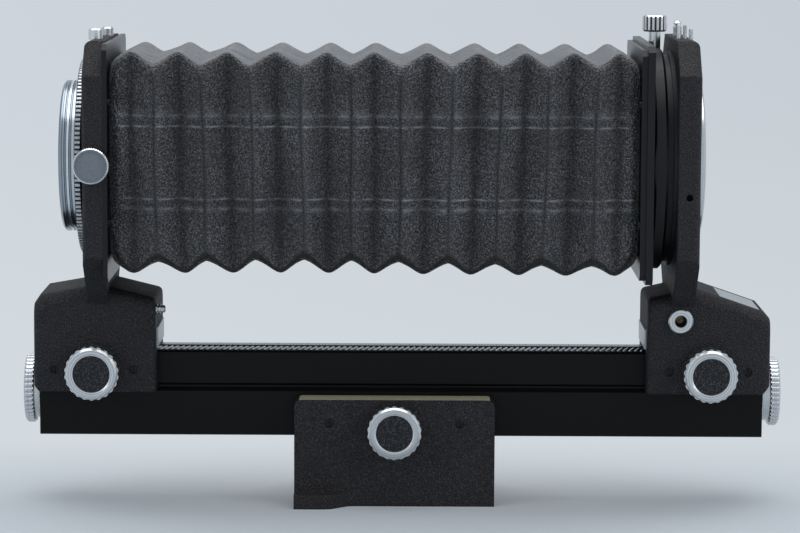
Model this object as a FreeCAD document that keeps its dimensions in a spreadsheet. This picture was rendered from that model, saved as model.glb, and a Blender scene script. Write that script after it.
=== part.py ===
"""Macro bellows unit for a single-lens reflex camera, built as a parametric document.

Frame: +X runs from the camera end to the lens end, -Y is the side with the lock knobs, +Z is up.
The origin is the mouth of the tripod socket, in the middle of the carriage's foot.
Every length is in millimetres.  Rows in DRIVING are set by hand; rows in DERIVED follow from them.
"""
import FreeCAD, Part
import Sketcher
import math
import os
import re

doc = FreeCAD.newDocument("macro_bellows")
sheet = doc.addObject("Spreadsheet::Sheet", "Sizes")

# --------------------------------------------------------------------------- sizes

DRIVING = {
    # fits shared by every piece
    "slide_gap": 0.1,            # between two faces that slide on each other
    "turn_gap": 0.04,            # radial, round a shaft or screw
    "air_gap": 0.4,              # where a moving piece only has to clear
    # rail: a drawn bar with a V groove along each side
    "rail_length": 246.0,
    "rail_offset": 2.2,          # middle of the rail, lens-wards of the carriage's middle
    "rail_bottom": 22.6,
    "rail_height": 28.9,
    "rail_width": 21.0,          # below the V grooves
    "rail_top_width": 20.0,      # above the V grooves
    "rail_edge": 0.5,
    "groove_low": 15.2,          # lower lip of the V groove, above the rail's bottom
    "groove_depth": 0.8,
    "groove_flat": 0.6,
    "screw_hole": 2.6,           # radius of the tapped hole in each rail end
    "screw_hole_deep": 16.0,
    # helical racks, one let into the top and one into the bottom of the rail
    "tooth_module": 0.6,
    "helix_angle": 17.0,
    "pressure_angle": 20.0,
    "backlash": 0.2,
    "rack_offset": 5.7,          # middle of the rack, towards the lock knobs
    "rack_width": 6.0,
    "rack_seat": 2.6,
    "rack_proud": 0.7,           # upper teeth, above the rail
    "rack_sunk": 0.15,           # lower teeth, inside the rail
    "pinion_teeth": 14.0,
    # scale strip let into the rail's top
    "scale_offset": 7.0,
    "scale_width": 4.8,
    "scale_thick": 0.4,
    # dovetail key between carriage and rail
    "key_offset": 4.2,
    "key_mouth": 5.2,
    "key_root": 7.2,
    "key_depth": 2.4,
    "key_length": 20.0,
    "key_reach": 20.0,           # middle of either key, from the carriage's middle
    "key_sink": 2.0,
    # carriage
    "carriage_length": 67.8,
    "carriage_width": 40.0,
    "carriage_height": 36.5,
    "carriage_corner": 2.8,
    "foot_reach": 6.0,
    "foot_height": 4.8,
    "foot_full": 10.0,
    "foot_run": 10.5,
    "socket_wall": 2.55,         # radius inside a 1/4 inch tripod thread
    "socket_outer": 5.0,
    "socket_length": 9.5,
    # the two standards
    "standard_inset": 19.2,      # middle of each base, from its end of the rail
    "base_length": 41.6,
    "base_width": 36.0,
    "base_bottom": 38.5,
    "base_top": 74.2,
    "base_round": 4.2,
    "base_bevel": 1.8,           # upright edges of both bases
    "slope_drop": 7.8,           # lower corner of the lens base's slope, below base_top
    "plate_half": 37.0,
    "plate_top": 158.2,
    "rear_plate_top": 157.4,
    "plate_corner": 11.0,
    "plate_shoulder": 86.0,
    "plate_waist": 68.6,
    "plate_round": 2.6,          # outer edge of either plate
    "optical_axis": 117.1,
    "rear_plate_thick": 6.9,
    "rear_plate_place": 1.6,     # middle of the rear plate, lens-wards of its base's middle
    "front_plate_thick": 7.6,
    "front_plate_place": 9.0,    # middle of the front plate, camera-wards of its base's middle
    # lock side: knob, gib and gib screws
    "lock_below_top": 5.4,       # lock knob, below the rail's top
    "lock_above_bottom": 4.1,    # carriage lock knob, above the rail's bottom
    "knob_radius": 9.1,
    "knob_depth": 9.4,
    "knob_stand": 1.2,
    "knob_flutes": 22.0,
    "flute_radius": 1.5,
    "flute_deep": 0.32,
    "insert_radius": 6.2,
    "insert_thick": 0.7,
    "stud_radius": 2.5,
    "carriage_gib_length": 52.0,
    "carriage_gib_reach": 22.0,
    "carriage_gib_lift": 1.6,
    "gib_length": 34.0,
    "gib_height": 8.4,
    "gib_thick": 2.1,
    "gib_screw_reach": 13.2,
    "gib_screw_radius": 1.5,
    # drive side: bush, shaft and knob
    "bush_radius": 5.5,
    "bush_flange": 7.6,
    "bush_flange_thick": 0.8,
    "journal_radius": 2.9,
    "pivot_radius": 1.9,
    "pivot_length": 3.4,
    "drive_knob_radius": 10.6,
    "drive_knob_depth": 10.5,
    # rail-end wheels
    "wheel_radius": 11.8,
    "wheel_thick": 3.35,
    "wheel_neck": 10.2,
    "rear_wheel_stand": 2.05,    # inner face of the rim, from the rail's end
    "front_wheel_stand": 2.7,
    "wheel_ribs": 44.0,
    "wheel_stud": 14.0,
    "wheel_relief": 0.6,
    # camera turret
    "flange_radius": 25.6,
    "flange_length": 6.1,
    "flange_shank": 25.0,
    "boss_radius": 32.0,
    "boss_height": 0.75,
    "flange_groove": 0.55,
    "throat_radius": 20.5,
    "grip_radius": 33.5,
    "grip_thick": 1.9,
    "grip_ribs": 132.0,
    "hub_radius": 29.6,
    "keeper_radius": 32.6,
    "keeper_thick": 1.5,
    "keeper_sunk": 1.9,
    "turret_lock_radius": 6.0,
    "turret_lock_depth": 4.6,
    "turret_lock_ribs": 48.0,
    "turret_lock_stud": 1.6,
    # lens mount
    "lens_ring_radius": 26.6,
    "lens_ring_proud": 2.4,
    "lens_ring_sunk": 2.2,
    "lens_bore": 23.0,
    "lens_throat": 21.6,
    "lens_tab": 1.1,
    "lens_screw_reach": 24.8,
    "lens_screw_head": 1.0,
    # clamp collar and spigot behind the lens standard
    "collar_radius": 37.6,
    "collar_width": 4.7,
    "collar_inner": 31.0,
    "collar_neck": 35.2,
    "collar_lip": 36.4,
    "collar_lip_width": 1.3,
    "collar_neck_width": 3.3,
    "spigot_wall": 3.4,
    "spigot_plate": 2.4,
    "front_frame_thick": 1.9,
    "rear_frame_thick": 1.6,
    "frame_half": 37.0,
    "frame_rise": 39.5,
    "frame_centre": 117.4,
    "frame_window": 29.0,
    "frame_corner": 2.0,
    "front_frame_step": 1.3,     # front bellows frame, inside the spigot frame's edge
    "frame_screw_across": 33.3,
    "frame_screw_up": 20.0,
    "clamp_stem": 2.0,
    "clamp_head": 4.15,
    "clamp_head_height": 5.5,
    "clamp_clear": 3.3,          # clamp screw's head, above the spigot frame
    "clamp_flutes": 16.0,
    # bellows
    "folds": 11.0,
    "fold_crest": 37.0,
    "fold_valley": 32.5,
    "fold_corner": 1.6,
    "bellows_wall": 1.0,
    # small fittings
    "lens_button_radius": 0.65,
    "lens_button_height": 4.8,
    "lens_button_place": 9.0,    # towards the lock knobs
    "rear_button_radius": 2.4,
    "rear_button_height": 3.4,
    "rear_button_place": 11.0,
    "rear_button_offset": 0.9,   # camera-wards of the plate's middle
    "button_stem": 1.1,
    "button_travel": 1.5,
    "dark_pin_radius": 0.7,
    "dark_pin_height": 3.8,
    "pin_gap": 2.05,             # between the two slim pins on the lens plate
    "post_place": 12.0,
    "front_post_radius": 1.5,
    "front_post_height": 5.2,
    "rear_post_radius": 2.0,
    "rear_post_height": 3.0,
    "stub_radius": 1.75,
    "stub_neck": 1.1,
    "stub_place": 14.0,          # towards the lock knobs
    "stub_height": 66.4,
    "release_radius": 4.2,
    "release_shank": 3.2,
    "release_wall": 2.0,
    "release_proud": 1.6,
    "release_length": 9.0,
    "release_thread": 4.6,
    "edge_hole": 1.15,
    "release_drop": 9.7,         # release socket, camera-wards of the lens base's middle
    "release_height": 63.6,
    "plunger_radius": 1.2,
    "plunger_length": 10.0,
    "plunger_travel": 3.0,
    "index_width": 29.0,
    "index_height": 6.6,
    "index_thick": 0.6,
    "nameplate_length": 14.3,
    "nameplate_width": 25.0,
    "nameplate_thick": 0.5,
    "nameplate_rim": 0.5,
    "nameplate_end": 1.2,        # from the slope's lower corner
}

DERIVED = {
    "rail_top": "rail_bottom + rail_height",
    "rail_middle": "rail_bottom + rail_height / 2",
    "lower_half": "rail_width / 2",
    "upper_half": "rail_top_width / 2",
    "waist_half": "upper_half - groove_depth",
    "groove_start": "rail_bottom + groove_low",
    "groove_in": "groove_start + (lower_half - waist_half)",
    "groove_out": "groove_in + groove_flat",
    "groove_end": "groove_out + groove_depth",
    "transverse_module": "tooth_module / cos(helix_angle)",
    "pitch_radius": "transverse_module * pinion_teeth / 2",
    "upper_tip": "rail_top + rack_proud",
    "lower_tip": "rail_bottom + rack_sunk",
    "pinion_width": "rack_width - air_gap",
    "upper_axis": "upper_tip - tooth_module + pitch_radius",
    "lower_axis": "lower_tip + tooth_module - pitch_radius",
    "pinion_room": "pitch_radius + tooth_module + air_gap",
    "standard_reach": "rail_length / 2 - standard_inset",
    "rear_base": "rail_offset - standard_reach",
    "front_base": "rail_offset + standard_reach",
    "base_half": "base_length / 2",
    "side_half": "base_width / 2",
    "carriage_half": "carriage_length / 2",
    "carriage_side": "carriage_width / 2",
    "channel_half": "lower_half + slide_gap",
    "saddle_half": "upper_half + slide_gap",
    "saddle_roof": "rail_top + slide_gap",
    "rack_near": "rack_offset + rack_width / 2",
    "rack_far": "rack_offset - rack_width / 2",
    "standard_lock": "rail_top - lock_below_top",
    "carriage_lock": "rail_bottom + lock_above_bottom",
    "gib_back": "saddle_half + gib_thick",
    "rear_plate_in": "rear_base + rear_plate_place + rear_plate_thick / 2",
    "rear_plate_out": "rear_base + rear_plate_place - rear_plate_thick / 2",
    "front_plate_in": "front_base - front_plate_place - front_plate_thick / 2",
    "front_plate_out": "front_base - front_plate_place + front_plate_thick / 2",
    "collar_out": "front_plate_in - collar_neck_width",
    "collar_in": "collar_out - collar_width",
    "spigot_in": "collar_in - spigot_plate",
    "bellows_front": "spigot_in - front_frame_thick",
    "bellows_rear": "rear_plate_in + rear_frame_thick",
    "bellows_middle": "(bellows_rear + bellows_front) / 2",
    "spigot_radius": "collar_inner - turn_gap",
    "saddle_end": "rear_base + base_half",
    "lens_end": "front_base - base_half",
    "lens_ring_back": "front_plate_out - lens_ring_sunk",
    "lens_ring_face": "front_plate_out + lens_ring_proud",
    "collar_top": "optical_axis + collar_radius",
    "clamp_head_foot": "max(frame_centre + frame_rise; collar_top) + clamp_clear",
    "release_place": "front_base - release_drop",
    "release_mouth": "side_half + release_proud",
    "grip_face": "rear_plate_out - 0.9",
    "flange_seat": "grip_face - grip_thick",
    "flange_face": "flange_seat - flange_length",
}

NAMES = set(DRIVING) | set(DERIVED)


def write_sheet():
    """Driving sizes as plain numbers, then the sizes worked out from them."""
    row = 0
    for alias, number in DRIVING.items():
        row += 1
        sheet.set(f"A{row}", alias)
        sheet.set(f"B{row}", str(number))
        sheet.setAlias(f"B{row}", alias)
    doc.recompute()
    for alias, rule in DERIVED.items():
        row += 1
        rule = re.sub(r"cos\((\w+)\)", r"cos(\1 * 1 deg)", rule)
        sheet.set(f"A{row}", alias)
        sheet.set(f"B{row}", "=" + rule)
        sheet.setAlias(f"B{row}", alias)
        doc.recompute()


def size(alias):
    """The present value of one cell, for shapes that Part's functions make."""
    return float(sheet.get(alias))


def bind(item, prop, rule):
    """Tie a property to the sheet; rule is written with the aliases themselves."""
    linked = re.sub(r"[A-Za-z_]\w*", lambda word: "Sizes." + word.group(0)
                    if word.group(0) in NAMES else word.group(0), str(rule))
    item.setExpression(prop, linked)


write_sheet()

# --------------------------------------------------------------------------- modelling helpers

PARTS = []
TURNS = {
    "+Z": FreeCAD.Rotation(),
    "-Z": FreeCAD.Rotation(FreeCAD.Vector(1, 0, 0), 180),
    "+X": FreeCAD.Rotation(FreeCAD.Vector(0, 1, 0), 90),
    "-X": FreeCAD.Rotation(FreeCAD.Vector(0, 1, 0), -90),
    "+Y": FreeCAD.Rotation(FreeCAD.Vector(1, 0, 0), -90),
    "-Y": FreeCAD.Rotation(FreeCAD.Vector(1, 0, 0), 90),
}


def place(item, at, way="+Z"):
    """Stand an item at a point, with its own +Z turned to the given way."""
    item.Placement = FreeCAD.Placement(FreeCAD.Vector(0, 0, 0), TURNS[way])
    for axis, rule in zip("xyz", at):
        bind(item, f"Placement.Base.{axis}", rule)


def keep(item, label):
    """Name a finished sub-part; its label is its file's name."""
    item.Label = label
    PARTS.append(item)
    return item


def new_body(name, at=("0", "0", "0"), way="+Z"):
    body = doc.addObject("PartDesign::Body", name)
    place(body, at, way)
    return body


def new_sketch(body, name, plane, lift="0"):
    """A sketch on one of the body's own origin planes, lifted along that plane's normal."""
    sketch = body.newObject("Sketcher::SketchObject", name)
    flat = [item for item in body.Origin.OriginFeatures if item.Role == plane][0]
    sketch.AttachmentSupport = [(flat, "")]
    sketch.MapMode = "FlatFace"
    bind(sketch, "AttachmentOffset.Base.z", lift)
    return sketch


def outline(body, name, plane, corners, lift="0"):
    """A closed sketch whose corners are pairs of rules."""
    sketch = new_sketch(body, name, plane, lift)
    count = len(corners)
    start = [FreeCAD.Vector(math.cos(math.tau * i / count), math.sin(math.tau * i / count), 0)
             for i in range(count)]
    for i in range(count):
        sketch.addGeometry(Part.LineSegment(start[i], start[(i + 1) % count]), False)
    for i in range(count):
        sketch.addConstraint(Sketcher.Constraint("Coincident", i, 2, (i + 1) % count, 1))
    for i, corner in enumerate(corners):
        for way, rule, first in zip(("DistanceX", "DistanceY"), corner, (start[i].x, start[i].y)):
            index = sketch.addConstraint(Sketcher.Constraint(way, -1, 1, i, 1, first))
            bind(sketch, f"Constraints[{index}]", rule)
    return sketch


def rounds(body, name, plane, circles, lift="0"):
    """A sketch of circles, each (across, up, radius) in rules."""
    sketch = new_sketch(body, name, plane, lift)
    for i, (across, up, radius) in enumerate(circles):
        sketch.addGeometry(Part.Circle(FreeCAD.Vector(i, 0, 0), FreeCAD.Vector(0, 0, 1), 1), False)
        for way, rule in (("DistanceX", across), ("DistanceY", up)):
            index = sketch.addConstraint(Sketcher.Constraint(way, -1, 1, i, 3, 0.5))
            bind(sketch, f"Constraints[{index}]", rule)
        index = sketch.addConstraint(Sketcher.Constraint("Radius", i, 1))
        bind(sketch, f"Constraints[{index}]", radius)
    return sketch


def pad(body, sketch, length, both_ways=False, back=False):
    feature = body.newObject("PartDesign::Pad", sketch.Name + "_pad")
    feature.Profile = sketch
    feature.Midplane = both_ways
    feature.Reversed = back
    bind(feature, "Length", length)
    return feature


def pocket(body, sketch, depth, both_ways=False, back=False):
    feature = body.newObject("PartDesign::Pocket", sketch.Name + "_cut")
    feature.Profile = sketch
    feature.Midplane = both_ways
    feature.Reversed = back
    bind(feature, "Length", depth)
    return feature


def fillet(body, name, radius, wanted):
    """Round those edges of the body for which wanted(edge) holds."""
    doc.recompute()
    base = body.Tip
    edges = [f"Edge{i + 1}" for i, edge in enumerate(base.Shape.Edges) if wanted(edge)]
    feature = body.newObject("PartDesign::Fillet", name)
    feature.Base = (base, edges)
    bind(feature, "Radius", radius)
    return feature


def turned(name, profile, at, way):
    """A body turned about its own Z: profile holds (radius, height) corners."""
    body = new_body(name, at, way)
    sketch = outline(body, name + "_profile", "XZ_Plane", profile)
    feature = body.newObject("PartDesign::Revolution", name + "_turn")
    feature.Profile = sketch
    feature.ReferenceAxis = (sketch, ["V_Axis"])
    feature.Angle = 360
    return body


def ribbed(body, name, count, reach, radius, foot, height):
    """Mill one round flute in the rim and repeat it all the way round."""
    sketch = rounds(body, name, "XY_Plane", [(reach, "0", radius)], foot)
    cut = pocket(body, sketch, height, back=True)
    doc.recompute()
    ring = body.newObject("PartDesign::PolarPattern", name + "_ring")
    ring.Originals = [cut]
    ring.Axis = ([item for item in body.Origin.OriginFeatures if item.Role == "Z_Axis"][0], [""])
    ring.Angle = 360
    bind(ring, "Occurrences", count)
    body.Tip = ring


def rod(name, radius, length, at, way):
    item = doc.addObject("Part::Cylinder", name)
    bind(item, "Radius", radius)
    bind(item, "Height", length)
    place(item, at, way)
    return item


def box(name, low, high):
    """A block between two corners, each a triple of rules."""
    item = doc.addObject("Part::Box", name)
    for prop, near, far in zip(("Length", "Width", "Height"), low, high):
        bind(item, prop, f"({far}) - ({near})")
    place(item, low)
    return item


def cut(name, base, *tools):
    """Take the tools out of the base."""
    tool = tools[0] if len(tools) == 1 else fuse(name + "_tools", *tools)
    item = doc.addObject("Part::Cut", name)
    item.Base = base
    item.Tool = tool
    return item


def fuse(name, *pieces):
    item = doc.addObject("Part::MultiFuse", name)
    item.Shapes = list(pieces)
    return item


def group(name, *pieces):
    """Identical loose pieces that share one file."""
    item = doc.addObject("Part::Compound", name)
    item.Links = list(pieces)
    return item


def shaped(name, shape):
    """A part whose form Part's own functions made."""
    item = doc.addObject("Part::Feature", name)
    item.Shape = shape
    return item


# --------------------------------------------------------------------------- rail

def make_rail():
    """Drawn aluminium bar: V grooves at the sides, seats for two racks, a key way and a scale."""
    body = new_body("rail_body", ("rail_offset", "0", "0"))
    low, high, edge = "rail_bottom", "rail_top", "rail_edge"
    side = [("lower_half", f"{low} + {edge}"), ("lower_half", "groove_start"),
            ("waist_half", "groove_in"), ("waist_half", "groove_out"),
            ("upper_half", "groove_end"), ("upper_half", f"{high} - {edge}"),
            (f"upper_half - {edge}", high)]
    scale_in = "scale_offset - scale_width / 2"
    scale_out = "scale_offset + scale_width / 2"
    top = [(scale_out, high), (scale_out, f"{high} - scale_thick"),
           (scale_in, f"{high} - scale_thick"), (scale_in, high),
           ("-rack_far", high), ("-rack_far", f"{high} - rack_seat"),
           ("-rack_near", f"{high} - rack_seat"), ("-rack_near", high)]
    other_side = [(f"-({across})", up) for across, up in reversed(side)]
    bottom = [(f"-lower_half + {edge}", low), ("-rack_near", low),
              ("-rack_near", f"{low} + rack_seat"), ("-rack_far", f"{low} + rack_seat"),
              ("-rack_far", low), ("key_offset - key_mouth / 2", low),
              ("key_offset - key_root / 2", f"{low} + key_depth"),
              ("key_offset + key_root / 2", f"{low} + key_depth"),
              ("key_offset + key_mouth / 2", low), (f"lower_half - {edge}", low)]
    pad(body, outline(body, "rail_section", "YZ_Plane", side + top + other_side + bottom),
        "rail_length", both_ways=True)
    doc.recompute()
    for name, lift, back in (("lens_end", "rail_length / 2", False),
                             ("camera_end", "-rail_length / 2", True)):
        hole = rounds(body, name, "YZ_Plane", [("0", "rail_middle", "screw_hole")], lift)
        pocket(body, hole, "screw_hole_deep", back=back)
    keep(body, "rail")


def rack_teeth(tip, back, way):
    """One helical rack as long as the rail: tip and back are heights, way is up or down."""
    pitch = math.pi * size("transverse_module")
    slope = math.tan(math.radians(size("pressure_angle"))) / math.cos(math.radians(size("helix_angle")))
    addendum = size("tooth_module")
    deep = 2.25 * addendum
    half_pitch_line = pitch / 4 - size("backlash") / 4
    half_tip = half_pitch_line - addendum * slope
    half_root = half_pitch_line + (deep - addendum) * slope
    width = size("rack_width")
    lean = math.tan(math.radians(size("helix_angle"))) * width
    middle = size("rail_offset")
    half = size("rail_length") / 2
    first = math.floor((middle - half - size("rear_base") - lean) / pitch) - 1
    last = math.ceil((middle + half - size("rear_base") + lean) / pitch) + 1
    corners = []
    for number in range(first, last):
        centre = size("rear_base") + (number + 0.5) * pitch
        for across, drop in ((-half_root, deep), (-half_tip, 0), (half_tip, 0), (half_root, deep)):
            corners.append((centre + across - lean / 2, tip - way * drop))
    ends = [(corners[-1][0], back), (corners[0][0], back)]
    near = -size("rack_near")
    wire = Part.makePolygon([FreeCAD.Vector(across, near, up)
                             for across, up in corners + ends + corners[:1]])
    bar = Part.Face(wire).extrude(FreeCAD.Vector(lean, width, 0))
    low = min(tip, back)
    room = Part.makeBox(2 * half, width, abs(tip - back), FreeCAD.Vector(middle - half, near, low))
    return bar.common(room)


def make_racks():
    """The same rack twice: teeth up for the standards, teeth down for the carriage."""
    upper = rack_teeth(size("upper_tip"), size("rail_top") - size("rack_seat"), 1)
    lower = rack_teeth(size("lower_tip"), size("rail_bottom") + size("rack_seat"), -1)
    upper, lower = shaped("upper_rack", upper), shaped("lower_rack", lower)
    keep(group("rack_pair", upper, lower), "racks")


def make_scale():
    """Bare strip let flush into the rail's top."""
    strip = box("scale_strip", ("rail_offset - rail_length / 2", "scale_offset - scale_width / 2",
                                "rail_top - scale_thick"),
                ("rail_offset + rail_length / 2", "scale_offset + scale_width / 2", "rail_top"))
    keep(strip, "rail_scale")


def make_end_wheel(label, end, stand, way):
    """Ribbed thumb screw at one end of the rail, with a plain neck between its rim and the rail."""
    name = label + "_body"
    seat = "air_gap / 2"
    rim, top = "wheel_radius", f"{stand} + wheel_thick"
    profile = [("0", "-wheel_stud"), ("screw_hole - turn_gap", "-wheel_stud"),
               ("screw_hole - turn_gap", seat), ("wheel_neck", seat), ("wheel_neck", stand),
               (f"{rim} - 0.6", stand), (rim, f"{stand} + 0.5"), (rim, f"{top} - 0.7"),
               (f"{rim} - 0.7", top), (f"{rim} - 2.6", top), (f"{rim} - 3.0", f"{top} - 0.5"),
               ("0", f"{top} - 0.5")]
    body = turned(name, profile, (end, "0", "rail_middle"), way)
    doc.recompute()
    ribbed(body, name + "_rib", "wheel_ribs", f"{rim} + 0.24", "0.62", f"{stand} - 0.1", "wheel_thick + 1")
    keep(body, label)


# --------------------------------------------------------------------------- knobs, gibs and drives

def make_lock_knob(label, across, face, up, wall):
    """Scalloped knob and its stud in one turning, with a leather-covered face."""
    name = label + "_body"
    stud = "stud_radius - turn_gap"
    reach = f"({face}) - ({wall}) - gib_thick - slide_gap / 2"
    rim, deep = "knob_radius", "knob_depth"
    profile = [("0", f"-({reach})"), (stud, f"-({reach})"), (stud, "knob_stand"),
               (f"{rim} - 1.4", "knob_stand"), (rim, "knob_stand + 1.1"),
               (rim, f"knob_stand + {deep} - 1.7"), (f"{rim} - 0.6", f"knob_stand + {deep} - 1.7"),
               (f"{rim} - 0.6", f"knob_stand + {deep} - 1.3"),
               (f"{rim} - 0.38", f"knob_stand + {deep} - 1.3"),
               (f"{rim} - 0.38", f"knob_stand + {deep} - 0.8"),
               (f"{rim} - 1.0", f"knob_stand + {deep} - 0.2"),
               ("insert_radius + 0.7", f"knob_stand + {deep}"),
               ("insert_radius", f"knob_stand + {deep} - 0.25"),
               ("insert_radius", f"knob_stand + {deep} - 0.25 - insert_thick"),
               ("0", f"knob_stand + {deep} - 0.25 - insert_thick")]
    body = turned(name, profile, (across, f"-({face})", up), "-Y")
    doc.recompute()
    ribbed(body, name + "_flute", "knob_flutes", f"{rim} + flute_radius - flute_deep", "flute_radius",
           "knob_stand - 0.5", f"{deep} - 1.2")
    keep(body, label)
    disc = rod(label + "_disc", "insert_radius - turn_gap", "insert_thick",
               (across, f"-({face}) - knob_stand - {deep} + 0.25 + insert_thick", up), "-Y")
    keep(disc, label.replace("knob", "insert"))


def make_drive_knob(label, across, face, up):
    """Larger scalloped knob on the drive side, bored for the pinion shaft."""
    name = label + "_body"
    rim, deep, foot = "drive_knob_radius", "drive_knob_depth", "bush_flange_thick + slide_gap"
    bore = "journal_radius - 0.5"
    profile = [(bore, foot), (f"{rim} - 3.0", foot), (f"{rim} - 2.4", f"{foot} + 1.6"),
               (rim, f"{foot} + 2.4"), (rim, f"{foot} + {deep} - 2.6"),
               (f"{rim} - 0.7", f"{foot} + {deep} - 1.9"), (f"{rim} - 0.9", f"{foot} + {deep} - 1.0"),
               (f"{rim} - 2.1", f"{foot} + {deep}"),
               ("insert_radius + 1", f"{foot} + {deep} - 0.25"),
               ("insert_radius + 1", f"{foot} + {deep} - 0.25 - insert_thick"),
               ("0", f"{foot} + {deep} - 0.25 - insert_thick"),
               ("0", f"{foot} + {deep} - 2.0"), (bore, f"{foot} + {deep} - 2.0")]
    body = turned(name, profile, (across, face, up), "+Y")
    doc.recompute()
    ribbed(body, name + "_flute", "knob_flutes + 4", f"{rim} + flute_radius - flute_deep",
           "flute_radius", f"{foot} + 2.0", f"{deep} + 1")
    keep(body, label)
    disc = rod(label + "_disc", "insert_radius + 1 - turn_gap", "insert_thick",
               (across, f"({face}) + {foot} + {deep} - 0.25 - insert_thick", up), "+Y")
    keep(disc, label.replace("knob", "insert"))


def gear_section(radius_turn, height):
    """Outline of the pinion across its axis, turned by an angle, as a closed wire."""
    teeth = int(size("pinion_teeth"))
    pitch_radius = size("pitch_radius")
    addendum = size("tooth_module")
    angle = math.atan(math.tan(math.radians(size("pressure_angle")))
                      / math.cos(math.radians(size("helix_angle"))))
    base = pitch_radius * math.cos(angle)
    tip = pitch_radius + addendum - 0.1
    root = pitch_radius - 1.25 * addendum
    half = math.pi / (2 * teeth) - size("backlash") / (4 * pitch_radius)
    at_pitch = math.tan(angle) - angle

    def flank(radius):
        if radius <= base:
            return half + at_pitch
        turn = math.acos(base / radius)
        return half + at_pitch - (math.tan(turn) - turn)

    steps = [root, base + 0.02, pitch_radius, tip]
    corners = []
    for number in range(teeth):
        centre = radius_turn + math.tau * number / teeth
        rising = [(radius, centre - flank(radius)) for radius in steps]
        falling = [(radius, centre + flank(radius)) for radius in reversed(steps)]
        corners += [FreeCAD.Vector(radius * math.sin(turn), height, radius * math.cos(turn))
                    for radius, turn in rising + falling]
    return Part.makePolygon(corners + corners[:1])


def make_pinion(label, across, up, way, face):
    """Helical pinion and its shaft; way is +1 where the rack is below it and -1 where it is above."""
    pitch = math.pi * size("transverse_module")
    pitch_radius = size("pitch_radius")
    width = size("pinion_width")
    middle = -size("rack_offset")
    lean = math.tan(math.radians(size("helix_angle"))) / pitch_radius
    phase = (size(across) if across != "0" else 0.0) - size("rear_base")
    rest = math.pi + (phase % pitch) / pitch_radius if way > 0 else -(phase % pitch) / pitch_radius
    sections = []
    for step in (-2, -1, 0, 1, 2):
        height = middle + step * width / 4
        sections.append(gear_section(rest - way * lean * (height - middle), height))
    gear = Part.makeLoft(sections, True, True)
    shaft_radius = size("journal_radius")
    near = middle - width / 2
    far = middle + width / 2
    out = size(face)
    along = FreeCAD.Vector(0, 1, 0)
    pivot = Part.makeCylinder(size("pivot_radius"), size("pivot_length") + 0.2,
                              FreeCAD.Vector(0, near - size("pivot_length"), 0), along)
    journal = Part.makeCylinder(shaft_radius, out + size("bush_flange_thick") - far + 0.2,
                                FreeCAD.Vector(0, far - 0.2, 0), along)
    tail = Part.makeCylinder(shaft_radius - 0.5 - size("turn_gap"),
                             size("drive_knob_depth") - 2.2,
                             FreeCAD.Vector(0, out + size("bush_flange_thick"), 0), along)
    item = shaped(label + "_shape", gear.fuse([pivot, journal, tail]))
    place(item, (across, "0", up))
    keep(item, label)


def make_bush(label, across, up, face):
    """Flanged bronze bush pressed into the drive side."""
    inner = "journal_radius + turn_gap"
    start = "channel_half + air_gap"
    profile = [(inner, start), ("bush_radius", start), ("bush_radius", face),
               ("bush_flange", face), ("bush_flange", f"{face} + bush_flange_thick"),
               (inner, f"{face} + bush_flange_thick")]
    keep(turned(label + "_body", profile, (across, "0", up), "+Y"), label)


def make_gib(label, across, up, wall, length):
    """Brass strip that the lock stud and the two set screws press on the rail."""
    half = f"{length} / 2 - slide_gap"
    rise = "gib_height / 2 - slide_gap"
    strip = box(label + "_bar", (f"({across}) - ({half})", f"-({wall}) - gib_thick", f"({up}) - ({rise})"),
                (f"({across}) + {half}", f"-({wall}) + slide_gap / 2", f"({up}) + {rise}"))
    keep(strip, label)


def make_gib_screws(label, across, up, wall, face, reach):
    """Two slotted set screws beside the lock knob."""
    screws = []
    for side, sign in (("a", "-"), ("b", "+")):
        at = f"({across}) {sign} {reach}"
        start = f"-({wall}) - gib_thick - slide_gap / 2"
        length = f"({face}) - 0.9 - ({wall}) - gib_thick - slide_gap / 2"
        shank = rod(f"{label}_{side}", "gib_screw_radius - turn_gap", length, (at, start, up), "-Y")
        slot = box(f"{label}_{side}_slot", (f"{at} - 0.25", f"-({face})", f"({up}) - gib_screw_radius"),
                   (f"{at} + 0.25", f"-({face}) + 1.6", f"({up}) + gib_screw_radius"))
        screws.append(cut(f"{label}_{side}_screw", shank, slot))
    keep(group(label + "_set", *screws), label)


# --------------------------------------------------------------------------- carriage

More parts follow.
